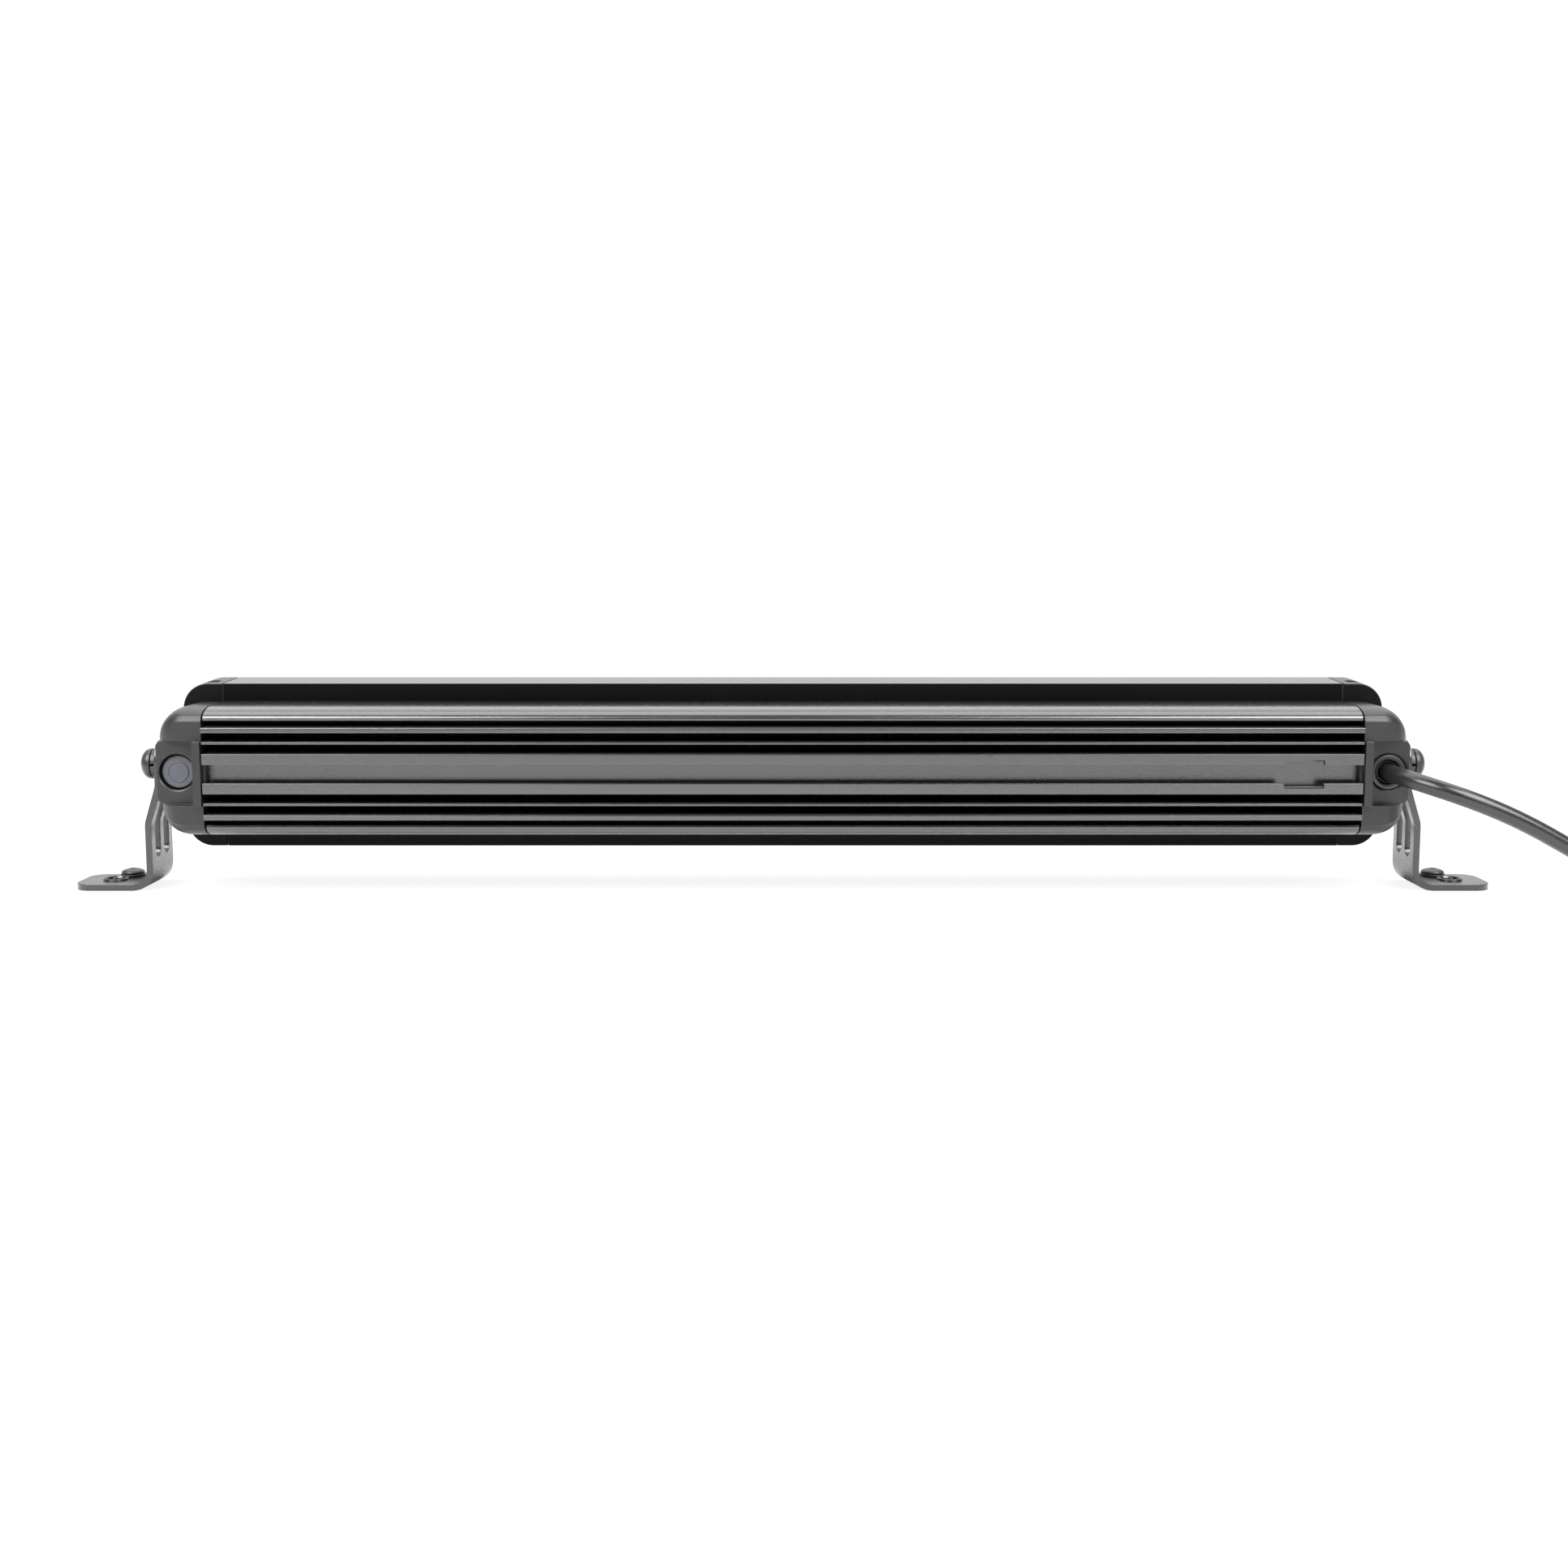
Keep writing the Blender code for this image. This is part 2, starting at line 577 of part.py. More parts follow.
def make_boards(parent):
    half_x, half_z = BOARD_HALF
    board = box("led_board", (-half_x, half_x), BOARD, (-half_z, half_z), "board_white", parent)
    lamps = []
    for x in cup_places():
        for z in (-CUP_ROW, CUP_ROW):
            wide = (x - LED_HALF, x + LED_HALF)
            high = (z - LED_HALF, z + LED_HALF)
            lamps.append(box("lamp", wide, (BOARD[1] - 0.5 * MM, LED_TOP), high, None, parent))
    join(board, gathered("join_lamps", lamps, parent))
    pad = box("thermal_pad", (1 * MM - half_x, half_x - 1 * MM), PAD, (1 * MM - half_z, half_z - 1 * MM),
              "thermal_grey", parent)
    for piece, radius in ((board, 1.6 * MM), (pad, 1.9 * MM)):
        holes = []
        reach = (PAD[0] - 2 * MM, BOARD[1] + 2 * MM)
        for x in BOARD_SCREWS_X:
            holes.append(rod("hole", radius, *reach, "Y", (x, 0, 0), None, parent, 10))
        cut(piece, gathered(f"cut_{piece.name}", holes, parent))
    profile = [(0, 26.2 * MM), (1.2 * MM, 26.2 * MM), (1.2 * MM, BOARD[1] + GAP), (2.4 * MM, BOARD[1] + GAP)]
    profile += [(2.0 * MM, BOARD[1] + 1.0 * MM), (0, BOARD[1] + 1.0 * MM)]
    for number, x in enumerate(BOARD_SCREWS_X):
        turned(f"board_screw_{number + 1}", profile, "Y", (x, 0, 0), "tin_plate", parent, 10)


def make_driver(parent):
    board_x = (267.6 * MM, 279.5 * MM)
    board = box("driver_board", board_x, (33.0 * MM, 34.6 * MM), (-22 * MM, 22 * MM), "board_green", parent)
    coil = rod("join_choke", 4.2 * MM, 34 * MM, 40 * MM, "Y", (273.6 * MM, 0, 13 * MM), None, parent, 14)
    chip = box("join_chip", (270 * MM, 277 * MM), (34 * MM, 36.2 * MM), (-4 * MM, 4 * MM), None, parent)
    store = box("join_store", (270 * MM, 277 * MM), (34 * MM, 41 * MM), (-19 * MM, -9 * MM), None, parent)
    join(board, coil, chip, store)
    box("board_link", (252 * MM, 272 * MM), (32.0 * MM, 32.5 * MM), (-6 * MM, 6 * MM), "flex_film", parent)
    for name, colour, up in (("positive", "wire_red", 1), ("negative", "wire_black", -1)):
        start = PORT_X / MM + 1.6 * up
        route = [(start, 22.4, 0), (start - 0.4, 25.0, 0.6 * up)]
        route += [(278.0, 28.4, 5.0 * up), (277.0, 31.8, 6.6 * up)]
        tube(f"internal_lead_{name}", route, 1.1 * MM, 2.5 * MM, 2, colour, parent)


# ---- Vent and lead entry ----


def make_vent(parent):
    port = (-PORT_X, 0, 0)
    body = [(0, 12.9), (6.4, 12.9), (6.4, 15.5), (3.7, 15.5)]
    body += [(3.7, 23.0), (1.6, 23.0), (1.6, 14.4), (0, 14.4)]
    cap = [(0, 10.6), (4.3, 10.6), (4.3, 10.1), (4.9, 10.1), (4.9, 10.6)]
    cap += [(7.0, 10.6), (7.9, 11.3), (7.9, 12.6), (0, 12.6)]
    seal = arc((5.1, 16.75), (0.95, 0.95), 0, 315, 7)
    pieces = {"vent_body": (body, "plug_plastic"), "vent_cap": (cap, "vent_plastic"),
              "vent_o_ring": (seal, "black_rubber")}
    for name, (profile, colour) in pieces.items():
        profile = [(radius * MM, along * MM) for radius, along in profile]
        turned(name, profile, "Y", port, colour, parent, 18)


def make_gland(parent):
    port = (PORT_X, 0, 0)
    sleeve = [(5.5, 9.4), (6.3, 8.7), (7.7, 8.7), (8.1, 9.1), (8.1, 17.7), (5.5, 17.7)]
    grommet = [(4.45, 10.4), (5.2, 10.4), (5.2, 17.7), (4.45, 17.7)]
    pieces = {"gland_sleeve": (sleeve, "plug_plastic"), "gland_grommet": (grommet, "black_rubber")}
    for name, (profile, colour) in pieces.items():
        profile = [(radius * MM, along * MM) for radius, along in profile]
        turned(name, profile, "Y", port, colour, parent, 18)


# ---- Tilt brackets and their fasteners ----


def filleted(points, radii, steps):
    """A path through points, with an arc of the given radius at each inner corner."""
    points = [Vector(point) for point in points]
    path = [points[0]]
    for before, corner, after, radius in zip(points, points[1:], points[2:], radii):
        back = (before - corner).normalized()
        ahead = (after - corner).normalized()
        reach = radius / math.tan(back.angle(ahead) / 2)
        for i in range(steps + 1):
            t = i / steps
            start = corner + back * reach * (1 - t)
            end = corner + ahead * reach * t
            path.append(start.lerp(end, t))
    return [*path, points[-1]]


def bracket_path():
    """The middle of the plate, from its round top to the foot's tip, as (X, Z)."""
    top_x = BRACKET_INNER + PLATE / 2
    foot_z = PLATE / 2 - BAR_HEIGHT
    corners = [(top_x, LEG_TOP), (top_x, -8.5 * MM), (top_x + LEG_SPREAD, -26 * MM)]
    corners += [(top_x + LEG_SPREAD, foot_z), (FOOT_END, foot_z)]
    return filleted(corners, (12 * MM, 12 * MM, 9.5 * MM), 5)


def stations(path, round_top, round_tip):
    """Adds points near both ends, where the outline rounds off, and gives each its half width."""
    fine = []
    for radius, points in ((round_top, path[:2]), (round_tip, path[:-3:-1])):
        way = (points[1] - points[0]).normalized()
        steps = [radius * (1 - math.cos(math.radians(angle))) for angle in (0, 18, 36, 54, 72, 90)]
        fine.append([points[0] + way * step for step in steps])
    rows = []
    for i, point in enumerate(fine[0]):
        rows.append((point, PLATE_HALF_WIDTH - round_top * (1 - math.sin(math.radians(18 * i)))))
    rows += [(point, PLATE_HALF_WIDTH) for point in path[1:-1]]
    for i, point in reversed(list(enumerate(fine[1]))):
        rows.append((point, PLATE_HALF_WIDTH - round_tip * (1 - math.sin(math.radians(18 * i)))))
    return rows


def make_bracket(side, parent):
    """The bent plate, about its pivot: the parent empty sits on the tilt axis."""
    name = side_name(side)
    pivot_z = PIVOT[1]
    rows = stations(bracket_path(), 10 * MM, 8 * MM)
    sections = []
    for i, (point, half) in enumerate(rows):
        way = (rows[min(i + 1, len(rows) - 1)][0] - rows[max(i - 1, 0)][0]).normalized()
        out = Vector((-way.y, way.x)) * PLATE / 2
        corners = [(point + out, -half), (point + out, half), (point - out, half), (point - out, -half)]
        sections.append([(side * xz.x, y, xz.y - pivot_z) for xz, y in corners])
    bracket = loft(f"bracket_{name}", sections, "black_plate", parent)

    high, low = (end - LEG_SLOT_RADIUS * step - pivot_z for end, step in zip(LEG_SLOT_ENDS, (1, -1)))
    leg_x = span(side, BRACKET_INNER - 5 * MM, BRACKET_INNER + 15 * MM)
    slots = []
    for offset in (-LEG_SLOT_OFFSET, LEG_SLOT_OFFSET):
        ends = arc((offset, high), (LEG_SLOT_RADIUS,) * 2, 0, 180, 6)
        ends += arc((offset, low), (LEG_SLOT_RADIUS,) * 2, 180, 360, 6)
        slots.append(prism_x("slot", ends, *leg_x, None, parent))
    slots.append(rod("pivot", BOLT_RADIUS + 0.6 * MM, *leg_x, "X", (0, 0, 0), None, parent, 20))
    foot_top = PLATE - BAR_HEIGHT - pivot_z
    hole_place = (side * FOOT_HOLE[0], FOOT_HOLE[1], 0)
    screw_place = (side * FOOT_SCREW[0], FOOT_SCREW[1], 0)
    collar_z = (foot_top - 1 * MM, foot_top + 1 * MM)
    join(bracket, rod(f"join_collar_{name}", 6 * MM, *collar_z, "Z", hole_place, None, parent))
    through = (foot_top - 10 * MM, foot_top + 5 * MM)
    slots.append(rod("hole", FOOT_HOLE_RADIUS, *through, "Z", hole_place, None, parent, 20))
    slots.append(rod("hole", 3.3 * MM, *through, "Z", screw_place, None, parent, 16))
    cut(bracket, gathered(f"cut_bracket_{name}", slots, parent))

    washer_z = (foot_top + GAP, foot_top + 1.1 * MM)
    ring(f"foot_washer_{name}", 3.3 * MM, 5.9 * MM, *washer_z, "Z", screw_place, "black_steel", parent, 20)
    seat = washer_z[1] + GAP
    end = foot_top + GAP - PLATE
    profile = [(0, end), (3 * MM, end), (3 * MM, seat), (FOOT_SCREW_HEAD, seat)]
    profile += arc((0, seat + 0.4 * MM), (FOOT_SCREW_HEAD, 1.9 * MM), 0, 66, 4)
    top = profile[-1][1]
    profile += [(1.8 * MM, top), (1.8 * MM, top - 1.2 * MM), (0, top - 1.2 * MM)]
    turned(f"foot_screw_{name}", profile, "Z", screw_place, "black_steel", parent, 16)


def make_pivot(side, parent):
    name = side_name(side)
    place = (0, *PIVOT)
    bore = BOLT_RADIUS + 0.5 * MM
    outer = BRACKET_INNER + PLATE
    rows = (("pivot_washer", 9.0, CAP_SIDE + GAP, BRACKET_INNER - GAP, "nylon"),
            ("flat_washer", 8.5, outer + GAP, outer + 2.0 * MM, "black_steel"),
            ("spring_washer", 7.2, outer + 2.3 * MM, outer + 4.6 * MM, "black_steel"))
    for label, radius, start, end, colour in rows:
        reach = span(side, start, end)
        washer = ring(f"{label}_{name}", bore, radius * MM, *reach, "X", place, colour, parent, 20)
        if label == "spring_washer":
            split_x = span(side, start - 1 * MM, end + 1 * MM)
            split_y = (PIVOT[0] - 10 * MM, PIVOT[0])
            cut(washer, box(f"cut_split_{name}", split_x, split_y, (0.4 * MM, 1.6 * MM), None, parent))
    seat = outer + 4.9 * MM
    profile = [(0, 282 * MM), (BOLT_RADIUS, 282 * MM), (BOLT_RADIUS, seat), (7.2 * MM, seat)]
    profile += arc((0, seat + 1.0 * MM), (7.2 * MM, 4.6 * MM), 0, 62, 5)
    top = profile[-1][1]
    profile += [(2.6 * MM, top), (2.6 * MM, top - 2.6 * MM), (0, top - 2.6 * MM)]
    profile = [(radius, side * along) for radius, along in profile]
    turned(f"pivot_bolt_{name}", profile, "X", place, "black_steel", parent, 20)


# ---- Lead, coil and plug ----


def make_lead(parent):
    tube("power_cable", LEAD_ROUTE, LEAD_RADIUS, 4 * LEAD_RADIUS, 3, "lead_jacket", parent)
    tube("cable_tail", TAIL_ROUTE, LEAD_RADIUS, 1.5 * LEAD_RADIUS, 3, "lead_jacket", parent)
    inner, outer = COIL_RADII
    low, high = COIL_LEVELS
    centre = (*COIL_CENTRE, 0)
    edge = 1.5 * MM
    side_top = low + 6 * MM
    profile = [(inner, low + edge), (inner + edge, low), (outer - edge, low), (outer, low + edge)]
    profile += [(outer, side_top), (outer - 4 * MM, high), (inner + 4 * MM, high), (inner, side_top)]
    turned("cable_coil", profile, "Z", centre, "lead_jacket", parent, 32)

    half_width = 2.4 * MM
    loops = []
    middle = ((inner + outer) / 2, (low + high) / 2)
    for thickness in (0, TIE_THICKNESS):
        wide, tall = thickness + 2 * GAP, thickness + GAP
        loops.append([(COIL_CENTRE[1] + radius + math.copysign(wide, radius - middle[0]),
                       z + math.copysign(tall, z - middle[1])) for radius, z in profile])
    across = (COIL_CENTRE[0] - half_width, COIL_CENTRE[0] + half_width)
    tie = prism_x("cable_tie", loops[1], *across, "nylon", parent)
    wider = (across[0] - 2 * MM, across[1] + 2 * MM)
    head_x = (COIL_CENTRE[0] - 3.4 * MM, COIL_CENTRE[0] + 3.4 * MM)
    head_y = COIL_CENTRE[1] + (inner + outer) / 2
    head_z = (high + GAP, high + 4.6 * MM)
    join(tie, box("join_tie_head", head_x, (head_y - 3 * MM, head_y + 3 * MM), head_z, None, parent))
    cut(tie, prism_x("cut_tie", loops[0], *wider, None, parent))


def plug_section(half_y, half_z, radius):
    y, z = PLUG_AXIS
    return [(y + a, z + b) for a, b in rounded_plate(half_y, half_z, radius)]


def make_plug(parent):
    """A sealed two-way connector that lies on the surface beside the coil."""
    half_y, half_z = PLUG_HALF
    place = (0, *PLUG_AXIS)
    shell_start = PLUG_START + 4 * MM
    front = PLUG_START + 40 * MM
    floor = PLUG_START + 20 * MM
    outline = plug_section(half_y, half_z, 2.4 * MM)
    body = prism_x("connector_body", outline, shell_start, front, "plug_plastic", parent)
    collar = rod("join_collar", 6.6 * MM, PLUG_START, shell_start + 1 * MM, "X", place, None, parent, 20)
    latch_y = (PLUG_AXIS[0] - 3 * MM, PLUG_AXIS[0] + 3 * MM)
    latch_z = (PLUG_AXIS[1] + half_z - 1 * MM, PLUG_AXIS[1] + half_z + 1.8 * MM)
    latch = box("join_latch", (PLUG_START + 14 * MM, PLUG_START + 34 * MM), latch_y, latch_z, None, parent)
    join(body, collar, latch)
    cavity = plug_section(half_y - 2 * MM, half_z - 2 * MM, 1.6 * MM)
    cut(body, prism_x("cut_cavity", cavity, floor, front + 3 * MM, None, parent))

    seal_x = (floor + GAP, floor + 3 * MM)
    outline = plug_section(half_y - 2.3 * MM, half_z - 2.3 * MM, 1.4 * MM)
    seal = prism_x("connector_seal", outline, *seal_x, "seal_red", parent)
    outline = plug_section(half_y - 3.3 * MM, half_z - 3.3 * MM, 1.0 * MM)
    cut(seal, prism_x("cut_seal", outline, floor - 2 * MM, floor + 5 * MM, None, parent))
    outline = plug_section(half_y - 3.6 * MM, half_z - 3.6 * MM, 0.8 * MM)
    wedge = prism_x("connector_wedge", outline, floor + GAP, front - 4 * MM, "wedge_orange", parent)
    holes = []
    for number, offset in enumerate((-2.2 * MM, 2.2 * MM)):
        pin_place = (0, PLUG_AXIS[0] + offset, PLUG_AXIS[1])
        holes.append(rod("hole", 1.3 * MM, floor - 1 * MM, front, "X", pin_place, None, parent, 10))
        pin = [(0, floor + GAP), (0.9 * MM, floor + GAP), (0.9 * MM, front - 3 * MM)]
        pin += [(0.4 * MM, front - 2 * MM), (0, front - 2 * MM)]
        turned(f"connector_pin_{number + 1}", pin, "X", pin_place, "tin_plate", parent, 10)
    cut(wedge, gathered("cut_pin_holes", holes, parent))


def main():
    clear_scene()
    make_materials()
    bar_axis = place_empty("bar_axis", (0, -33 * MM, BAR_HEIGHT))
    make_extrusion(bar_axis)
    make_lens(bar_axis)
    make_boards(bar_axis)
    make_driver(bar_axis)
    make_vent(bar_axis)
    make_gland(bar_axis)
    for up in (-1, 1):
        make_reflector(up, bar_axis)
    for side in (-1, 1):
        make_cap(side, bar_axis)
        make_gasket(side, bar_axis)
        make_cap_screws(side, bar_axis)
        make_pivot(side, bar_axis)
        tilt_axis = place_empty(f"tilt_axis_{side_name(side)}", (0, *PIVOT), bar_axis)
        make_bracket(side, tilt_axis)
    make_lead(bar_axis)
    make_plug(bar_axis)


main()
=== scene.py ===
"""Looks of the LED light bar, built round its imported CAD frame. Sizes are in millimetres unless said."""

import json
import math

import bmesh
import bpy
from mathutils import Matrix, Vector

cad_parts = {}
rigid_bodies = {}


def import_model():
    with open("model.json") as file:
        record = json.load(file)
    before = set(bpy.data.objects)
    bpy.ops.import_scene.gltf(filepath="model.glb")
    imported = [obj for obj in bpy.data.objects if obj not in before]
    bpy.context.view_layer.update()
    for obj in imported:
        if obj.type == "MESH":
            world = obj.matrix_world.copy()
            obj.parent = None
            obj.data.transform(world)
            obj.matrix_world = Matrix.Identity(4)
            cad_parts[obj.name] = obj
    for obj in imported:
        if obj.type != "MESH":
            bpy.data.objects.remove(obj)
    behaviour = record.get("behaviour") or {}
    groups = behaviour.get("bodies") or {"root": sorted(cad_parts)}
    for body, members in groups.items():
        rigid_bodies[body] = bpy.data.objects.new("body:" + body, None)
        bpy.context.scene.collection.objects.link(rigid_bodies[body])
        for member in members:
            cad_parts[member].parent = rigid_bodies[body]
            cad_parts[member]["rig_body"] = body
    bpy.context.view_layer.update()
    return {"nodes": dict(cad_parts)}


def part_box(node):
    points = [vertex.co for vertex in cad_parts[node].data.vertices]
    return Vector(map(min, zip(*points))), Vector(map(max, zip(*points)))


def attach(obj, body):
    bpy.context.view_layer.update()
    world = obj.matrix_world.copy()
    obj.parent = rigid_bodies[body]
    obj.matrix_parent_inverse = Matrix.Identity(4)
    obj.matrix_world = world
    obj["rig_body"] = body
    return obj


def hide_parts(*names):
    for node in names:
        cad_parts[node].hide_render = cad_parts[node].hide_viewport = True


MM = 0.001
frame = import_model()

# The bar's own axes: X along it, Y from the fin tips to the beam, Z up from the middle of its slot
BAR_LOW, BAR_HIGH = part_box("housing_extrusion")
BAR = Matrix.Translation((0, BAR_LOW.y, (BAR_LOW.z + BAR_HIGH.z) / 2)) @ Matrix.Diagonal((MM, MM, MM, 1))
BAR_HALF = BAR_HIGH.x / MM
FLOOR = -(BAR_LOW.z + BAR_HIGH.z) / 2 / MM

# Section of the bar, as in the CAD
LIP_TOP, SLOT_MOUTH, SLOT_HALF, SLOT_FLOOR, LIP_DEPTH = 9.3, 4.2, 7.1, 8.6, 2.3
THIN_FIN, THIN_FIN_START, THICK_FIN, FIN_ROOT, PORT_ROOT = (13.6, 14.8), 0.6, (18.9, 21.4), 24.5, 17.5
SHOULDER_TIP, SHOULDER_BACK, BODY_HALF = (4.0, 25.0), 20.0, 30.3
BASE_FRONT, CAVITY_HALF, FLANGE_WEB, POCKET_HALF = 29.0, 27.5, 47.5, 37.2
FLANGE_REAR, FLANGE_FRONT, FLANGE_HALF_REAR, FLANGE_HALF_FRONT = 38.0, 66.0, 39.0, 40.2
LIP_HALF, LIP_BACK = 34.2, 63.9
NOTCH_X, NOTCH_HALF = (229.7, 248.3), 6.6

# End caps
CAP_START, CAP_SIDE, CAP_ROUND, CAP_ROUND_START, CAP_REAR = 267.0, 290.0, 15.0, 274.6, 3.2
FLANGE_END, FLANGE_CORNER, CAP_BULGE_FRONT, POCKET_END = 285.6, 12.0, 46.0, 281.5
BOSS_FACE, BOSS_HALF, STRIP_END, STRIP_HALF = 8.5, 14.6, 270.8, 15.0
PORT_X, PORT_RADIUS, PORT_BOTTOM, LEAD_HOLE = 280.3, 8.4, 18.0, 4.4
DENT_X, DENT_Y, DENT_DEPTH = (270.5, 277.5), (44, 52), 1.2
CAP_SCREWS = ((21.5, 22.6, 281.0), (21.5, -22.6, 281.0), (42.8, 31.5, 279.5), (42.8, -31.5, 279.5))
CAP_SCREW_HOLE, CAP_SCREW_CLEARANCE, CAP_SCREW_WELL, CAP_SCREW_DEPTH = 2.1, 2.3, 3.9, 12

# Optics
LENS, LENS_HALF, SEAL = (60.2, 63.3), (276.5, 35.6), (58.2, 63.6)
REFLECTOR, REFLECTOR_HALF, REFLECTOR_STEP = (33.0, 57.3), 262.0, 48.0
CUPS, CUP_PITCH, CUP_ROW, CUP_MOUTH, CUP_THROAT = 16, 32.4, 15.9, 15.1, 3.0
BOARD, BOARD_HALF = (30.1, 31.7), (258.0, 26.5)
BOARD_SCREWS_X, BOARD_SCREW_HOLE, BOARD_SCREW_CLEARANCE = (-194.4, -64.8, 64.8, 194.4), 1.5, 1.6

# Pivot and brackets
PIVOT = (36.0, 1.0)
BRACKET_INNER, PLATE, PLATE_HALF_WIDTH, LEG_SPREAD, LEG_TOP, FOOT_END = 292.1, 3.0, 15.0, 5.4, 13.0, 336.0
FOOT_HOLE, FOOT_SCREW = (320.0, -1.0), (315.6, 10.2)
LEG_SLOT_OFFSET, LEG_SLOT_RADIUS, LEG_SLOT_ENDS = 6.15, 3.9, (-11.0, -42.7)
BOLT_CLEARANCE, FOOT_SCREW_CLEARANCE = 4.3, 3.3

# Lead: straight out of its gland, down to the surface, then twice round a coil to the plug
LEAD_RADIUS = 4.0
LEAD_ROUTE = (
    (280.3, 22.0, 0.0), (280.3, 15.0, 0.0), (280.3, 8.5, 0.0), (281.4, -1.5, -0.4), (286.2, -12.5, -1.8),
    (295.6, -20.3, -4.7), (307.6, -24.2, -8.8), (321.0, -25.8, -14.2), (335.0, -26.5, -20.9),
    (349.5, -27.0, -28.9), (364.0, -27.7, -37.1), (378.0, -28.6, -44.4), (391.0, -29.6, -49.4),
    (402.4, -30.4, -51.8), (416.0, -30.9, -52.9),
)
TAIL_ROUTE = ((446.0, -27.5, -45.2), (458.0, -27.5, -46.4), (468.0, -27.5, -48.3), (480.5, -27.6, -49.4))
COIL_CENTRE, COIL_OUTER, COIL_INNER = (432.0, 17.0), 48.0, 40.0
COIL_LOW, COIL_RISE, COIL_WIDEN = -53.0, 8.1, 4.5
COIL_STEPS, COIL_STEP, COIL_START = 52, 14.0, -90
# Where on the coil each change starts, and over how far, in degrees
TURN_IN_AT, RISE_AT, WIDEN_AT = (205, 75), (480, 110), (575, 55)
PLUG_START, PLUG_AXIS, PLUG_HALF = 480.0, (-27.6, -49.4), (8.0, 8.5)
SIDES = {"left": -1, "right": 1}


# ---- Shapes, built in millimetres in the bar's own axes ----

TURNS = {
    "X": Matrix.Rotation(math.radians(90), 4, "Y"),
    "Y": Matrix.Rotation(math.radians(-90), 4, "X"),
    "Z": Matrix.Identity(4),
}


def loft(sections):
    """Joins closed sections of equal point count, and closes both ends."""
    bm = bmesh.new()
    rings = [[bm.verts.new(point) for point in section] for section in sections]
    for ring, following in zip(rings, rings[1:]):
        for i in range(len(ring)):
            bm.faces.new((ring[i], ring[i - 1], following[i - 1], following[i]))
    bm.faces.new(rings[0])
    bm.faces.new(rings[-1])
    bmesh.ops.recalc_face_normals(bm, faces=bm.faces)
    return bm


def prism(outline, axis, start, end):
    """Extrudes an outline along an axis; its points are the other two coordinates, in order."""
    order = {"X": (2, 0, 1), "Y": (0, 2, 1), "Z": (0, 1, 2)}[axis]
    sections = []
    for along in (start, end):
        triples = [(a, b, along) for a, b in outline]
        sections.append([tuple(triple[i] for i in order) for triple in triples])
    return loft(sections)


def box(x_range, y_range, z_range):
    (y0, y1), (z0, z1) = y_range, z_range
    return prism([(y0, z0), (y1, z0), (y1, z1), (y0, z1)], "X", *x_range)


def lathe(profile, axis, place=(0, 0, 0), steps=48):
    """Turns a closed (radius, along) profile about an axis; radius 0 makes a pole."""
    bm = bmesh.new()
    angles = [math.tau * i / steps for i in range(steps)]
    rings = []
    for radius, along in profile:
        if radius == 0:
            rings.append([bm.verts.new((0, 0, along))] * steps)
        else:
            rings.append([bm.verts.new((radius * math.cos(a), radius * math.sin(a), along)) for a in angles])
    for ring, following in zip(rings, rings[1:] + rings[:1]):
        for i in range(steps):
            corners = list(dict.fromkeys((ring[i], ring[i - 1], following[i - 1], following[i])))
            if len(corners) > 2:
                bm.faces.new(corners)
    bmesh.ops.transform(bm, matrix=Matrix.Translation(place) @ TURNS[axis], verts=bm.verts)
    bmesh.ops.recalc_face_normals(bm, faces=bm.faces)
    return bm


def rod(radius, start, end, axis, place=(0, 0, 0), steps=40):
    return lathe([(0, start), (radius, start), (radius, end), (0, end)], axis, place, steps)


def softened(bm, width, segments=3, seam=None):
    """Rounds off every sharp edge, except those of a flat end at this X, where another piece meets it."""
    sharp = [edge for edge in bm.edges if edge.calc_face_angle(0) > math.radians(40)]
    if seam is not None:
        sharp = [edge for edge in sharp if any(abs(vert.co.x - seam) > 0.01 for vert in edge.verts)]
    bmesh.ops.bevel(bm, geom=sharp, offset=width, segments=segments, profile=0.5, affect="EDGES",
                    clamp_overlap=True)
    return bm


def gathered(*shapes):
    """Shapes that don't touch, as one."""
    whole = bmesh.new()
    for shape in shapes:
        mesh = bpy.data.meshes.new("part")
        shape.to_mesh(mesh)
        shape.free()
        whole.from_mesh(mesh)
        bpy.data.meshes.remove(mesh)
    return whole


def helper(shape):
    mesh = bpy.data.meshes.new("helper")
    shape.to_mesh(mesh)
    shape.free()
    obj = bpy.data.objects.new("helper", mesh)
    bpy.context.scene.collection.objects.link(obj)
    return obj


def combined(base, operation, *others):
    """The base with the others joined to it, or cut from it. The shapes given are used up."""
    helpers = [helper(shape) for shape in (base, *others)]
    for other in helpers[1:]:
        modifier = helpers[0].modifiers.new("boolean", "BOOLEAN")
        modifier.operation = operation
        modifier.object = other
    result = bmesh.new()
    graph = bpy.context.evaluated_depsgraph_get()
    result.from_mesh(helpers[0].evaluated_get(graph).to_mesh())
    for one in helpers:
        bpy.data.meshes.remove(one.data)
    return result


def cut(base, *others):
    return combined(base, "DIFFERENCE", *others)


def join(base, *others):
    return combined(base, "UNION", *others)


def arc(centre, radii, start, end, steps):
    """Points of an ellipse arc; angles in degrees from the first axis."""
    angles = [math.radians(start + (end - start) * i / steps) for i in range(steps + 1)]
    return [(centre[0] + radii[0] * math.cos(a), centre[1] + radii[1] * math.sin(a)) for a in angles]


def mirrored(upper):
    """Closes an upper half outline by its mirror image below zero."""
    return upper + [(along, -up) for along, up in reversed(upper)]


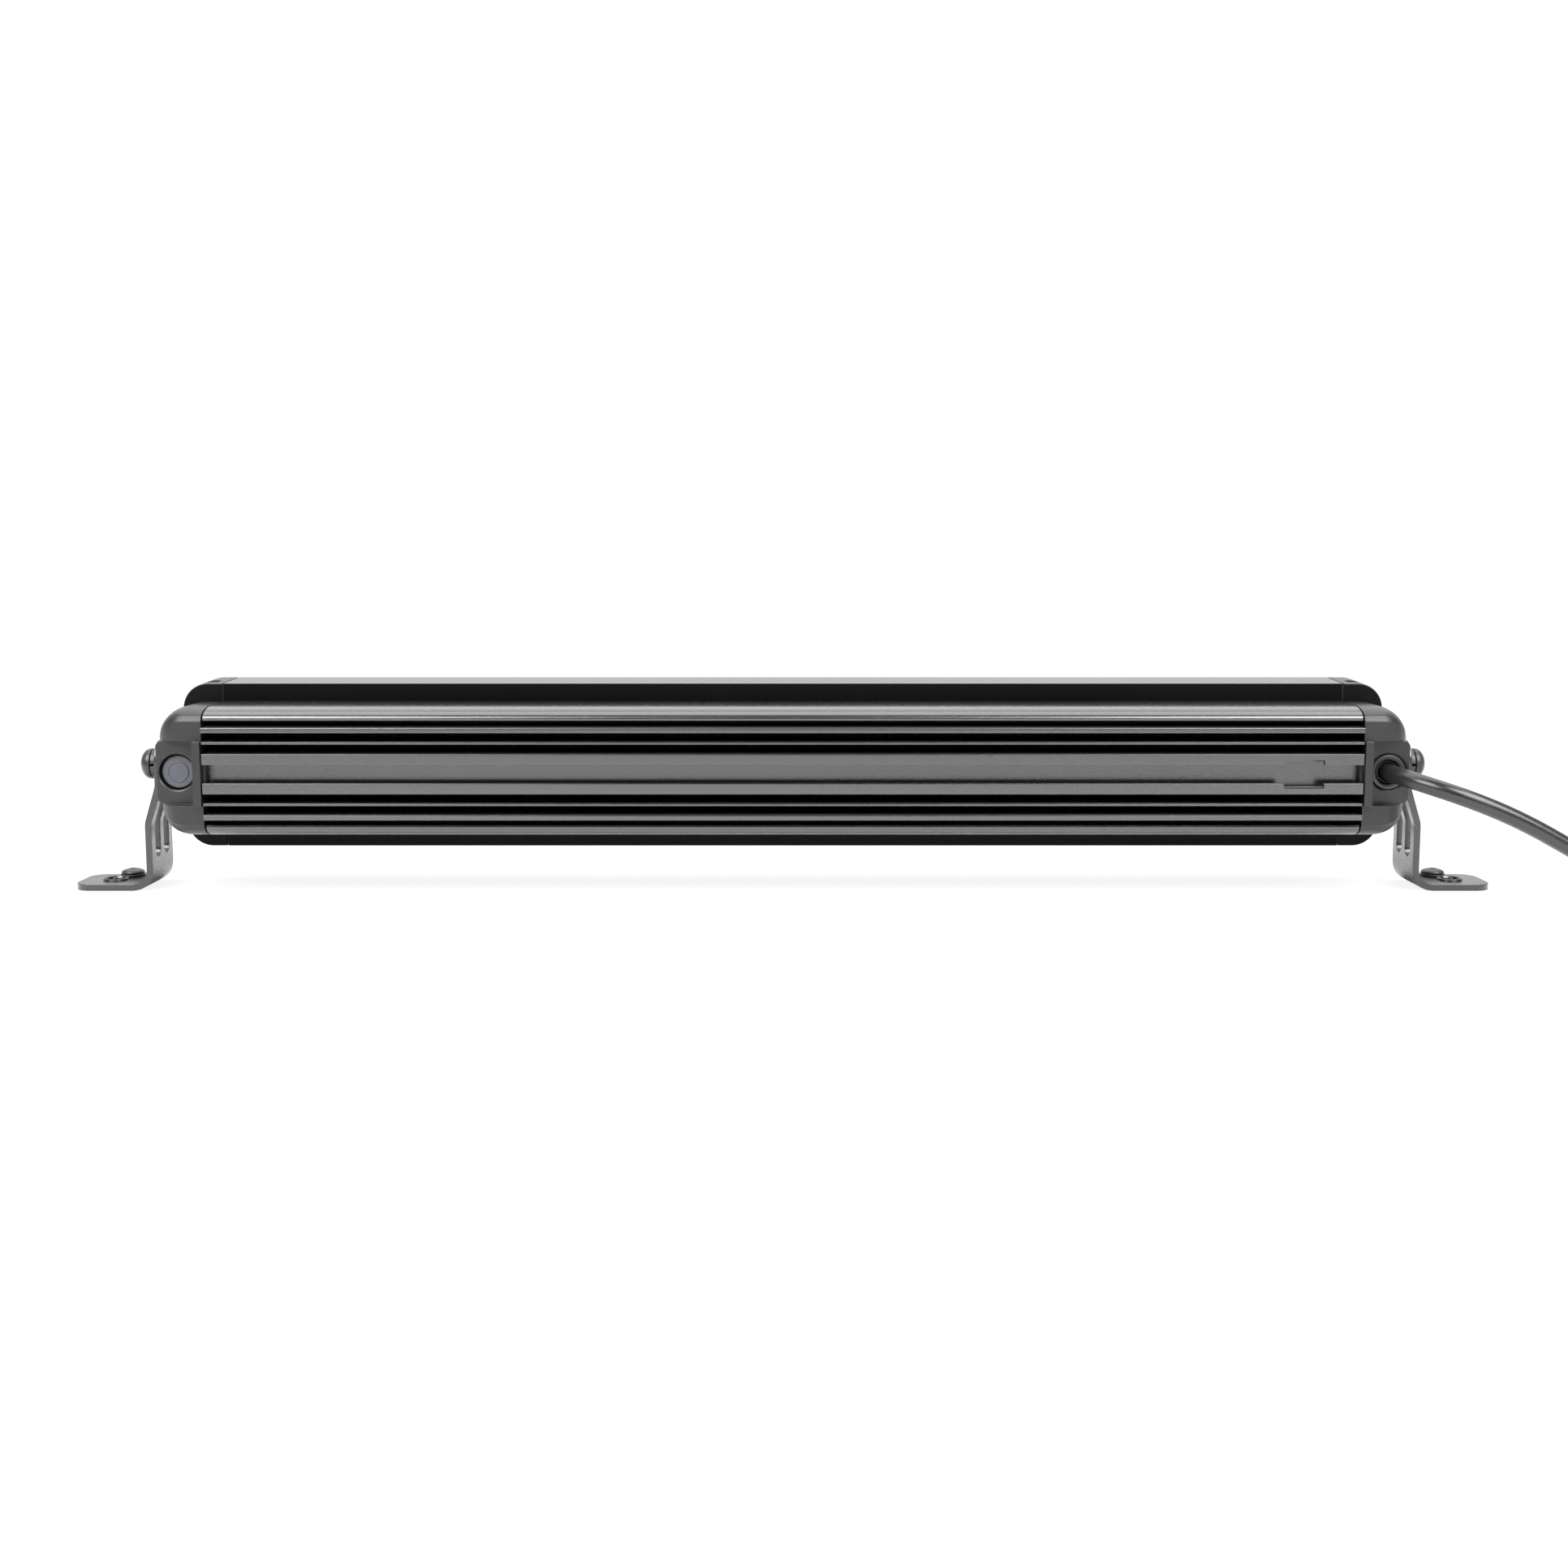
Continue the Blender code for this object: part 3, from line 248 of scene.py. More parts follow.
def bend(before, corner, after, radius, steps):
    """A rounded corner."""
    before, corner, after = Vector(before), Vector(corner), Vector(after)
    back, ahead = (before - corner).normalized(), (after - corner).normalized()
    reach = radius / math.tan(back.angle(ahead) / 2)
    points = []
    for i in range(steps + 1):
        t = i / steps
        start = corner + back * reach * (1 - t)
        points.append(start.lerp(corner + ahead * reach * t, t))
    return points


def rounded_outline(corners, steps=4):
    """A closed outline from (a, b, radius) corners; radius 0 keeps a corner as it is."""
    outline = []
    for i, (a, b, radius) in enumerate(corners):
        if radius == 0:
            outline.append((a, b))
            continue
        following = corners[(i + 1) % len(corners)]
        outline += [tuple(point) for point in bend(corners[i - 1][:2], (a, b), following[:2], radius, steps)]
    return outline


def rounded_end(start, end, half, radius, side):
    """An (X, Z) outline that is square at start and has two round corners at end."""
    upper = [(start, half)] + arc((end - radius, half - radius), (radius, radius), 90, 0, 14)
    return [(side * x, z) for x, z in mirrored(upper)]


def rounded_plate(half_a, half_b, radius):
    right = arc((half_a - radius, half_b - radius), (radius, radius), 0, 90, 10)
    return mirrored(right + [(-a, b) for a, b in reversed(right)])


def span(side, start, end):
    """Two X values on one side of the bar, in rising order."""
    return sorted((side * start, side * end))


def hexagon(across, centre=(0, 0)):
    """A socket's outline, by its width across the flats."""
    radius = across / math.sqrt(3)
    return arc(centre, (radius, radius), 0, 300, 5)


# ---- Materials ----


def add(tree, kind, inputs=None, **settings):
    """A new node with its inputs linked, or set to a value."""
    made = tree.nodes.new(kind)
    for name, value in settings.items():
        setattr(made, name, value)
    for name, value in (inputs or {}).items():
        if isinstance(value, bpy.types.NodeSocket):
            tree.links.new(value, made.inputs[name])
        else:
            made.inputs[name].default_value = value
    return made


def ranged(tree, value, low, high, start=0.3, end=0.7):
    """Spreads a noise over a range."""
    inputs = {"Value": value, "From Min": start, "From Max": end, "To Min": low, "To Max": high}
    return add(tree, "ShaderNodeMapRange", inputs).outputs["Result"]


def mixed(tree, factor, first, second):
    made = add(tree, "ShaderNodeMix", data_type="RGBA")
    for index, value in ((0, factor), (6, first), (7, second)):
        if isinstance(value, bpy.types.NodeSocket):
            tree.links.new(value, made.inputs[index])
        else:
            made.inputs[index].default_value = value
    return made.outputs[2]


def surface(name, colour, roughness, spread=0.05, tint=0.3, stretch=(1, 1, 1), grain=1500, bump=0.006,
            blotch=30, edge=0.25, pattern=None, **constant):
    """A material with uneven colour, roughness and grain; bump and edge are in millimetres."""
    material = bpy.data.materials.new(name)
    material.use_nodes = True
    tree = material.node_tree
    shader = tree.nodes["Principled BSDF"]
    place = add(tree, "ShaderNodeTexCoord").outputs["Object"]
    drawn = add(tree, "ShaderNodeMapping", {"Vector": place, "Scale": stretch}).outputs["Vector"]
    fine = add(tree, "ShaderNodeTexNoise", {"Vector": drawn, "Scale": grain, "Detail": 5}).outputs["Fac"]
    broad = add(tree, "ShaderNodeTexNoise", {"Vector": place, "Scale": blotch, "Detail": 3}).outputs["Fac"]
    both = add(tree, "ShaderNodeMath", {0: fine, 1: broad}, operation="ADD").outputs[0]
    light = (*[min(1, c * (1 + tint)) for c in colour], 1)
    dark = (*[c * (1 - tint) for c in colour], 1)
    base = mixed(tree, ranged(tree, both, 0, 1, 0.75, 1.25), dark, light)
    if pattern:
        base = pattern(tree, place, base)
    rough = ranged(tree, both, roughness - spread, roughness + spread, 0.75, 1.25)
    height = {"Height": fine, "Distance": bump * MM, "Strength": 1.0}
    if edge:
        height["Normal"] = add(tree, "ShaderNodeBevel", {"Radius": edge * MM}, samples=6).outputs["Normal"]
    normal = add(tree, "ShaderNodeBump", height).outputs["Normal"]
    for socket, value in (("Base Color", base), ("Roughness", rough), ("Normal", normal)):
        tree.links.new(value, shader.inputs[socket])
    for socket, value in constant.items():
        shader.inputs[socket.replace("_", " ")].default_value = value
    return material


def tracks(size, width, colour):
    """A pattern of copper tracks that show through a board's coating."""
    def pattern(tree, place, base):
        turned = add(tree, "ShaderNodeMapping", {"Vector": place, "Rotation": (math.radians(90), 0, 0)})
        brick = add(tree, "ShaderNodeTexBrick", {
            "Vector": turned.outputs["Vector"], "Scale": 1.0, "Mortar Size": width * MM,
            "Brick Width": 2.6 * size * MM, "Row Height": size * MM, "Mortar Smooth": 0.2})
        return mixed(tree, brick.outputs["Fac"], base, (*colour, 1))
    return pattern


def let_lamps_through(material):
    """A clear piece casts no shadow on what is behind it."""
    tree = material.node_tree
    shadow = add(tree, "ShaderNodeLightPath").outputs["Is Shadow Ray"]
    clear = add(tree, "ShaderNodeBsdfTransparent").outputs[0]
    shader = tree.nodes["Principled BSDF"].outputs[0]
    mix = add(tree, "ShaderNodeMixShader", {0: shadow, 1: shader, 2: clear}).outputs[0]
    tree.links.new(mix, tree.nodes["Material Output"].inputs["Surface"])


def make_materials():
    made = {}

    def keep(name, *args, **kwargs):
        made[name] = surface(name, *args, **kwargs)

    along_bar = (0.06, 1, 1)
    keep("black_anodised", (0.0075, 0.0075, 0.0080), 0.26, 0.03, 0.2, along_bar, 3200, 0.0001, 9, 0, IOR=1.8)
    # A darker, duller copy of the anodised finish: painted shade on the flange's rear face.
    keep("painted_shade_anodised", (0.0020, 0.0020, 0.0022), 0.42, 0.06, 0.25, along_bar, 3200, 0.001, 9, 0,
         Specular_IOR_Level=0.06)
    # A less glossy copy of the anodised finish: painted shade in the channels between the fins and in the
    # slot.
    keep("painted_shade_channel_anodised", (0.020, 0.020, 0.021), 0.55, 0.06, 0.25, along_bar, 3200, 0.001, 9, 0,
         Specular_IOR_Level=0.3)
    keep("black_cast", (0.0080, 0.0078, 0.0077), 0.40, 0.05, 0.2, (1, 1, 1), 1500, 0.002, 45, 0.35, IOR=1.47)
    # A darker, duller copy of the cast finish: painted shade on the cap flange's rear face.
    keep("painted_shade_cast", (0.0025, 0.0025, 0.0025), 0.45, 0.06, 0.2, (1, 1, 1), 1500, 0.003, 45, 0.35,
         Specular_IOR_Level=0.08)
    keep("black_plate", (0.012, 0.0118, 0.0115), 0.27, 0.04, 0.2, (1, 1, 1), 1200, 0.003, 60, 0.4, IOR=1.6)
    keep("black_steel", (0.016, 0.016, 0.017), 0.40, 0.06, 0.3, (1, 1, 1), 1600, 0.003, 150, 0.3, IOR=1.5)
    keep("black_rubber", (0.012, 0.012, 0.0125), 0.58, 0.08, 0.3, (1, 1, 1), 2500, 0.015, 90, 0.2)
    keep("lead_jacket", (0.0095, 0.0095, 0.010), 0.30, 0.04, 0.25, (0.25, 1, 1), 900, 0.003, 30, 0, IOR=1.5)
    keep("vent_plastic", (0.050, 0.053, 0.064), 0.40, 0.06, 0.12, (1, 1, 1), 2600, 0.010, 200, 0.25)
    keep("nylon", (0.024, 0.024, 0.024), 0.45, 0.08, 0.2, (1, 1, 1), 1800, 0.008, 120, 0.2)
    keep("plug_plastic", (0.013, 0.013, 0.0135), 0.36, 0.06, 0.2, (1, 1, 1), 2200, 0.010, 100, 0.3)
    keep("mirror_coat", (0.42, 0.43, 0.445), 0.11, 0.04, 0.05, (1, 1, 1), 500, 0.004, 60, 0.3, Metallic=1.0)
    keep("board_white", (0.76, 0.76, 0.73), 0.42, 0.06, 0.05, (1, 1, 1), 1800, 0.006, 80, 0.2,
         tracks(9.0, 0.5, (0.68, 0.66, 0.58)))
    keep("board_green", (0.018, 0.115, 0.045), 0.34, 0.06, 0.15, (1, 1, 1), 1800, 0.006, 80, 0.2,
         tracks(2.2, 0.35, (0.05, 0.23, 0.09)))
    keep("phosphor", (0.86, 0.62, 0.10), 0.35, 0.08, 0.12, (1, 1, 1), 3500, 0.010, 300, 0.2)
    keep("thermal_grey", (0.33, 0.34, 0.36), 0.80, 0.08, 0.15, (1, 1, 1), 1500, 0.03, 120, 0.1)
    keep("flex_film", (0.50, 0.24, 0.04), 0.32, 0.06, 0.15, (1, 1, 1), 1500, 0.004, 80, 0.1,
         tracks(1.6, 0.3, (0.62, 0.34, 0.14)))
    keep("wire_red", (0.42, 0.016, 0.016), 0.40, 0.06, 0.15, (1, 1, 1), 1400, 0.006, 80, 0)
    keep("wire_black", (0.014, 0.014, 0.014), 0.40, 0.06, 0.2, (1, 1, 1), 1400, 0.006, 80, 0)
    keep("seal_red", (0.40, 0.045, 0.022), 0.52, 0.08, 0.15, (1, 1, 1), 2400, 0.012, 120, 0.2)
    keep("wedge_orange", (0.74, 0.20, 0.025), 0.42, 0.06, 0.12, (1, 1, 1), 2200, 0.008, 100, 0.2)
    keep("tin_plate", (0.66, 0.66, 0.63), 0.28, 0.08, 0.12, (1, 1, 1), 2000, 0.004, 200, 0.1, Metallic=1.0)
    keep("clear_lens", (0.97, 0.98, 0.99), 0.035, 0.02, 0.01, (1, 1, 1), 300, 0.002, 20, 0.3,
         IOR=1.5, Transmission_Weight=1.0)
    let_lamps_through(made["clear_lens"])
    return made


MATERIALS = make_materials()


def dress(obj, finish, *nodes):
    """Gives a new piece its material, and puts it on the body of the CAD nodes it stands for."""
    obj.data.materials.append(MATERIALS[finish])
    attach(obj, frame["nodes"][nodes[0]]["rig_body"])
    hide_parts(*nodes)
    return obj


def piece(name, shape, finish, *nodes, smooth=38):
    """A finished piece from a shape in millimetres."""
    bmesh.ops.dissolve_degenerate(shape, dist=0.0005, edges=shape.edges)
    mesh = bpy.data.meshes.new(name)
    shape.to_mesh(mesh)
    shape.free()
    mesh.transform(BAR)
    mesh.shade_smooth()
    mesh.set_sharp_from_angle(angle=math.radians(smooth))
    obj = bpy.data.objects.new(name, mesh)
    bpy.context.scene.collection.objects.link(obj)
    even = obj.modifiers.new("even_shading", "WEIGHTED_NORMAL")
    even.keep_sharp = True
    return dress(obj, finish, *nodes)


# ---- Camera ----

# Its aim in the bar's axes, how far back it stands, its rise in degrees, and its lens and sensor
CAMERA_AIM, CAMERA_BACK, CAMERA_RISE = (0.56, 0, -4.4), 865, 7.1
CAMERA_LENS, CAMERA_SENSOR = 43.32, 36


def make_camera():
    """Looks at the back of the bar from a little above its middle."""
    aim = BAR @ Vector(CAMERA_AIM)
    back, rise = CAMERA_BACK * MM, math.radians(CAMERA_RISE)
    camera = bpy.data.objects.new("camera", bpy.data.cameras.new("camera"))
    camera.data.sensor_width = CAMERA_SENSOR
    camera.data.lens = CAMERA_LENS
    camera.data.clip_start = 0.05
    camera.data.clip_end = 50
    camera.location = aim + Vector((0, -math.cos(rise), math.sin(rise))) * back
    camera.rotation_euler = (math.radians(90) - rise, 0, 0)
    bpy.context.scene.collection.objects.link(camera)
    bpy.context.scene.camera = camera


# ---- Lead ----


def smooth_step(angle, start, reach):
    """Goes from 0 to 1 without a kink, over the reach that follows the start."""
    t = min(1, max(0, (angle - start) / reach))
    return t * t * (3 - 2 * t)


def coil_points():
    """Two turns that lie beside each other, then a rise over the outer turn towards the plug."""
    points = []
    for step in range(COIL_STEPS):
        angle = COIL_START + COIL_STEP * step
        turn_in = smooth_step(angle, *TURN_IN_AT)
        widen = smooth_step(angle, *WIDEN_AT)
        radius = COIL_OUTER + (COIL_INNER - COIL_OUTER) * turn_in + COIL_WIDEN * widen
        height = COIL_LOW + COIL_RISE * smooth_step(angle, *RISE_AT)
        x = COIL_CENTRE[0] + radius * math.cos(math.radians(angle))
        y = COIL_CENTRE[1] + radius * math.sin(math.radians(angle))
        points.append((x, y, height))
    return points


def smooth_route(points, parts):
    """Extra points between the given ones, on one smooth curve through all of them."""
    points = [Vector(point) for point in points]
    knots = [2 * points[0] - points[1], *points, 2 * points[-1] - points[-2]]
    fine = []
    for a, b, c, d in zip(knots, knots[1:], knots[2:], knots[3:]):
        for i in range(parts):
            t = i / parts
            turn = (2 * a - 5 * b + 4 * c - d) * t**2 + (3 * b - a - 3 * c + d) * t**3
            fine.append(b + ((c - a) * t + turn) / 2)
    return [*fine, points[-1]]


def make_lead():
    route = smooth_route([*LEAD_ROUTE, *coil_points(), *TAIL_ROUTE], 3)
    curve = bpy.data.curves.new("power_lead", "CURVE")
    curve.dimensions = "3D"
    curve.bevel_depth = LEAD_RADIUS * MM
    curve.bevel_resolution = 7
    curve.use_fill_caps = True
    spline = curve.splines.new("POLY")
    spline.points.add(len(route) - 1)
    for point, place in zip(spline.points, route):
        point.co = (*(BAR @ place), 1)
    spline.use_smooth = True
    lead = bpy.data.objects.new("power_lead", curve)
    bpy.context.scene.collection.objects.link(lead)
    dress(lead, "lead_jacket", "power_cable", "cable_coil", "cable_tail")
    length = sum((after - before).length for before, after in zip(route, route[1:])) * MM
    return lead, length


# ---- Housing ----


def shoulder(steps=26):
    """The round shoulder of the bar, from its flat top down to its rear edge."""
    radii = (SHOULDER_BACK - SHOULDER_TIP[0], BODY_HALF - SHOULDER_TIP[1])
    return arc((SHOULDER_BACK, SHOULDER_TIP[1]), radii, 90, 180, steps)


def extrusion_outline():
    """The bar's section, with the small radius that an extrusion has at each corner."""
    port_top = SHOULDER_TIP[1] - 0.8
    upper = [(SLOT_FLOOR, SLOT_HALF, 0.5), (LIP_DEPTH, SLOT_HALF, 0.25), (LIP_DEPTH, SLOT_MOUTH, 0.35)]
    upper += [(0, SLOT_MOUTH, 0.4), (0, LIP_TOP, 0.4), (FIN_ROOT, LIP_TOP, 0.6)]
    upper += [(FIN_ROOT, THIN_FIN[0], 0.6)]
    upper += [(THIN_FIN_START, THIN_FIN[0], 0.35), (THIN_FIN_START, THIN_FIN[1], 0.35)]
    upper += [(FIN_ROOT, THIN_FIN[1], 0.6), (FIN_ROOT, THICK_FIN[0], 0.6), (0, THICK_FIN[0], 0.45)]
    upper += [(0, THICK_FIN[1], 0.6), (PORT_ROOT, THICK_FIN[1], 0.6), (PORT_ROOT, port_top, 0.6)]
    upper += [(SHOULDER_TIP[0] + 0.2, port_top, 0.3)]
    upper += [(y, z, 0) for y, z in reversed(shoulder())]
    upper += [(FLANGE_REAR, BODY_HALF, 0.5), (FLANGE_REAR, FLANGE_HALF_REAR, 0.5)]
    upper += [(FLANGE_FRONT, FLANGE_HALF_FRONT, 0.7), (FLANGE_FRONT, LIP_HALF, 0.5)]
    upper += [(LIP_BACK, LIP_HALF, 0.3), (LIP_BACK, POCKET_HALF, 0.3), (FLANGE_WEB, POCKET_HALF, 0.4)]
    upper += [(FLANGE_WEB, CAVITY_HALF, 0.4)]
    upper += [(BASE_FRONT, CAVITY_HALF, 0.6)]
    return rounded_outline(upper + [(y, -z, radius) for y, z, radius in reversed(upper)])


def screw_points():
    return [(side, y, z) for side in (-1, 1) for y, z, _ in CAP_SCREWS]


def paint_flange_rear_shade(obj, finish):
    """Gives the rear face of the front flange, which faces back, a darker and duller copy of its finish:
    painted shade.
    """
    obj.data.materials.append(MATERIALS[finish])
    behind = BAR_LOW.y + (FLANGE_REAR - 0.6) * MM
    ahead = BAR_LOW.y + (FLANGE_REAR + 0.3) * MM
    for face in obj.data.polygons:
        if behind < face.center.y < ahead and face.normal.y < -0.3:
            face.material_index = 1


def paint_channel_shade(obj):
    """Gives the walls between the fins, and in the slot except its floor, a duller and less glossy copy of
    the anodised finish: painted shade in these recesses.
    """
    obj.data.materials.append(MATERIALS["painted_shade_channel_anodised"])
    for face in obj.data.polygons:
        x, y, z = BAR.inverted() @ face.center
        in_channel = 1.0 < y < FIN_ROOT + 0.2 and abs(z) < SHOULDER_TIP[1] - 0.5 and abs(x) < BAR_HALF - 0.1
        slot_floor = abs(y - SLOT_FLOOR) < 0.1 and abs(z) < SLOT_HALF
        if in_channel and not slot_floor:
            face.material_index = 2


def make_extrusion():
    bar = prism(extrusion_outline(), "X", -BAR_HALF, BAR_HALF)
    beyond = BAR_HALF + 5
    hollow = box((-beyond, beyond), (11.0, FIN_ROOT), (-SLOT_HALF, SLOT_HALF))
    notch_outline = [(x, z, 0.8) for x, z in ((NOTCH_X[0], -NOTCH_HALF), (NOTCH_X[1], -NOTCH_HALF),
                                              (NOTCH_X[1], NOTCH_HALF), (NOTCH_X[0], NOTCH_HALF))]
    notch = prism(rounded_outline(notch_outline), "Y", -2, LIP_DEPTH + 0.6)
    holes = []
    for side, y, z in screw_points():
        reach = span(side, BAR_HALF - CAP_SCREW_DEPTH, beyond)
        holes.append(rod(CAP_SCREW_HOLE, *reach, "X", (0, y, z), 20))
    for x in BOARD_SCREWS_X:
        holes.append(rod(BOARD_SCREW_HOLE, FIN_ROOT + 1, 32, "Y", (x, 0, 0), 16))
    bar = cut(bar, hollow, notch, gathered(*holes))
    obj = piece("bar_housing", bar, "black_anodised", "housing_extrusion")
    # The flange's rear face gets painted shade.
    paint_flange_rear_shade(obj, "painted_shade_anodised")
    # The channel walls get painted shade.
    paint_channel_shade(obj)


# ---- End caps ----


def bulge(side):
    """The rounded body of an end cap: the bar's section, drawn in towards the outer side."""
    outline = mirrored([(CAP_BULGE_FRONT, BODY_HALF), *shoulder(18), (CAP_REAR, SHOULDER_TIP[1] - 1)])
    middle, steps = PIVOT[0], 20
    sections = [[(side * CAP_START, y, z) for y, z in outline]]
    for i in range(steps + 1):
        angle = math.radians(90 * i / steps)
        inset = CAP_ROUND * (1 - math.cos(angle))
        x = side * (CAP_ROUND_START + (CAP_SIDE - CAP_ROUND_START) * math.sin(angle))
        deep, high = 1 - inset / (middle - CAP_REAR), 1 - inset / BODY_HALF
        sections.append([(x, max(y, middle + (y - middle) * deep), z * high) for y, z in outline])
    return softened(loft(sections), 0.35, 2, seam=side * CAP_START)


def cap_flange(side):
    """The part of the front flange that wraps round the bar's end, with its edges eased."""
    levels = ((FLANGE_REAR, FLANGE_HALF_REAR), (FLANGE_FRONT, FLANGE_HALF_FRONT))
    sections = []
    for y, half in levels:
        outline = rounded_end(CAP_START, FLANGE_END, half, FLANGE_CORNER, side)
        sections.append([(x, y, z) for x, z in outline])
    return softened(loft(sections), 0.8, 4, seam=side * CAP_START)


def cap_boss(side):
    """The flat square around the rear port; it has a chamfer above and a round corner below."""
    inner = STRIP_END - 1
    outline = [(inner, BOSS_HALF), (CAP_SIDE - 2, BOSS_HALF), (CAP_SIDE, BOSS_HALF - 2)]
    outline += arc((CAP_SIDE - 3, 3 - BOSS_HALF), (3, 3), 0, -90, 8)
    outline += [(inner, -BOSS_HALF)]
    return softened(prism([(side * x, z) for x, z in outline], "Y", BOSS_FACE, 30), 0.5)


def make_cap(side, name):
    inside, outside = CAP_START - 3, CAP_SIDE + 5
    strip_z = (-STRIP_HALF, STRIP_HALF)
    strip = softened(box(span(side, CAP_START, STRIP_END), (0.2, 12), strip_z), 0.4, seam=side * CAP_START)
    tongue = softened(box(span(side, 265.8, CAP_START + 2), (4.6, 8.2), (-6.7, 6.7)), 0.4)
    cap = join(bulge(side), cap_flange(side), strip, tongue)
    cap = cut(cap, box(span(side, STRIP_END, outside), (-5, BOSS_FACE), strip_z))
    cap = join(cap, cap_boss(side))

    port = (side * PORT_X, 0, 0)
    mouth_profile = [(0, 5.5), (9.1, 5.5), (9.1, BOSS_FACE), (8.8, 8.75), (PORT_RADIUS, 9.0),
                     (PORT_RADIUS, PORT_BOTTOM), (0, PORT_BOTTOM)]
    pocket = lathe(mouth_profile, "Y", port, 64)
    throat = rod(LEAD_HOLE, PORT_BOTTOM - 1, 21, "Y", port)
    room = box(span(side, 270, 285), (20, 31), (-10, 10))
    hall = box(span(side, inside, 280), (BASE_FRONT, FLANGE_WEB + 1), (-24, 24))
    outline = rounded_end(inside, POCKET_END, POCKET_HALF, 8, side)
    lens_room = prism(outline, "Y", FLANGE_WEB, LIP_BACK)
    outline = rounded_end(inside, POCKET_END - 3.2, LIP_HALF, 5, side)
    opening = prism(outline, "Y", LIP_BACK - 1, FLANGE_FRONT + 3)
    thread = rod(4.0, *span(side, 281.5, outside), "X", (0, *PIVOT))
    cap = cut(cap, pocket, throat, room, hall, lens_room, opening, thread)

    holes, wells = [], []
    for y, z, seat in CAP_SCREWS:
        holes.append(rod(CAP_SCREW_CLEARANCE, *span(side, inside, seat), "X", (0, y, z), 20))
        wells.append(rod(CAP_SCREW_WELL, *span(side, seat, outside), "X", (0, y, z), 32))
    dents = []
    for up in (-1, 1):
        z_range = sorted((up * (FLANGE_HALF_REAR - DENT_DEPTH), up * (FLANGE_HALF_FRONT + 2)))
        dents.append(softened(box(span(side, *DENT_X), DENT_Y, z_range), 0.6))
    cap = cut(cap, gathered(*holes), gathered(*wells), gathered(*dents))
    # The cap flange's rear face gets painted shade.
    paint_flange_rear_shade(piece(f"cap_{name}", cap, "black_cast", f"end_cap_{name}", smooth=32), "painted_shade_cast")


def socket_screw(name, finish, node, axis, place, profile, top, across, depth, side=1, steps=40):
    """A turned screw with a hexagon socket cut into its head."""
    body = lathe([(radius, side * along) for radius, along in profile], axis, place, steps)
    a, b = {"X": (place[1], place[2]), "Y": (place[0], place[2]), "Z": (place[0], place[1])}[axis]
    socket = prism(hexagon(across, (a, b)), axis, *span(side, top - depth, top + 3))
    piece(name, cut(body, socket), finish, node, smooth=30)


def make_cap_screws(side, name):
    for number, (y, z, seat) in enumerate(CAP_SCREWS):
        base, start = seat + 0.3, BAR_HALF - 10.5
        top = base + 2.4
        profile = [(0, start), (1.5, start), (1.8, start + 0.4), (1.8, base), (3.4, base)]
        profile += [(3.5, base + 0.15), (3.5, top - 0.4), (3.38, top - 0.12), (3.1, top), (0, top)]
        socket_screw(f"cap_bolt_{name}_{number + 1}", "black_steel", f"cap_screw_{name}_{number + 1}", "X",
                     (0, y, z), profile, top, 3.0, 1.5, side, 32)


# ---- Optics ----


def make_lens():
    outline = rounded_plate(*LENS_HALF, 6)
    piece("lens_pane", softened(prism(outline, "Y", *LENS), 0.5), "clear_lens", "front_lens")
    seal = softened(prism(rounded_plate(POCKET_END - 0.4, POCKET_HALF - 0.3, 7.6), "Y", *SEAL), 0.4)
    half_x, half_z = LENS_HALF
    rebate = prism(rounded_plate(half_x + 0.3, half_z + 0.3, 6.2), "Y", LENS[0] - 0.3, LENS[1] + 2)
    aperture = prism(rounded_plate(half_x - 2.2, half_z - 1.9, 4.5), "Y", SEAL[0] - 2, LENS[0] + 1)
    piece("lens_gasket", cut(seal, rebate, aperture), "black_rubber", "lens_seal")


def cup_places():
    return [(i - (CUPS - 1) / 2) * CUP_PITCH for i in range(CUPS)]


def make_reflector(up, name):
    """One row of parabolic cups, moulded as a bar that is wider in front, where the housing is."""
    back, front = REFLECTOR
    outline = [(back, 0.6, 0.4), (front, 0.6, 0.5), (front, 32.4, 0.6), (REFLECTOR_STEP, 32.4, 0.5)]
    outline += [(REFLECTOR_STEP, CAVITY_HALF - 0.3, 0.5), (back, CAVITY_HALF - 0.3, 0.5)]
    outline = [(y, up * z) for y, z in rounded_outline(outline)]
    row = prism(outline, "X", -REFLECTOR_HALF, REFLECTOR_HALF)
    deep = front - back
    profile = [(0, back - 1), (CUP_THROAT, back - 1)]
    for i in range(13):
        t = i / 12
        radius = math.sqrt(CUP_THROAT**2 + (CUP_MOUTH**2 - CUP_THROAT**2) * t)
        profile.append((radius, back + 0.6 + (deep - 0.5) * t))
    profile.append((0, front + 0.1))
    cups = [lathe(profile, "Y", (x, 0, up * CUP_ROW), 40) for x in cup_places()]
    piece(f"reflector_row_{name}", cut(row, gathered(*cups)), "mirror_coat", f"reflector_{name}", smooth=50)


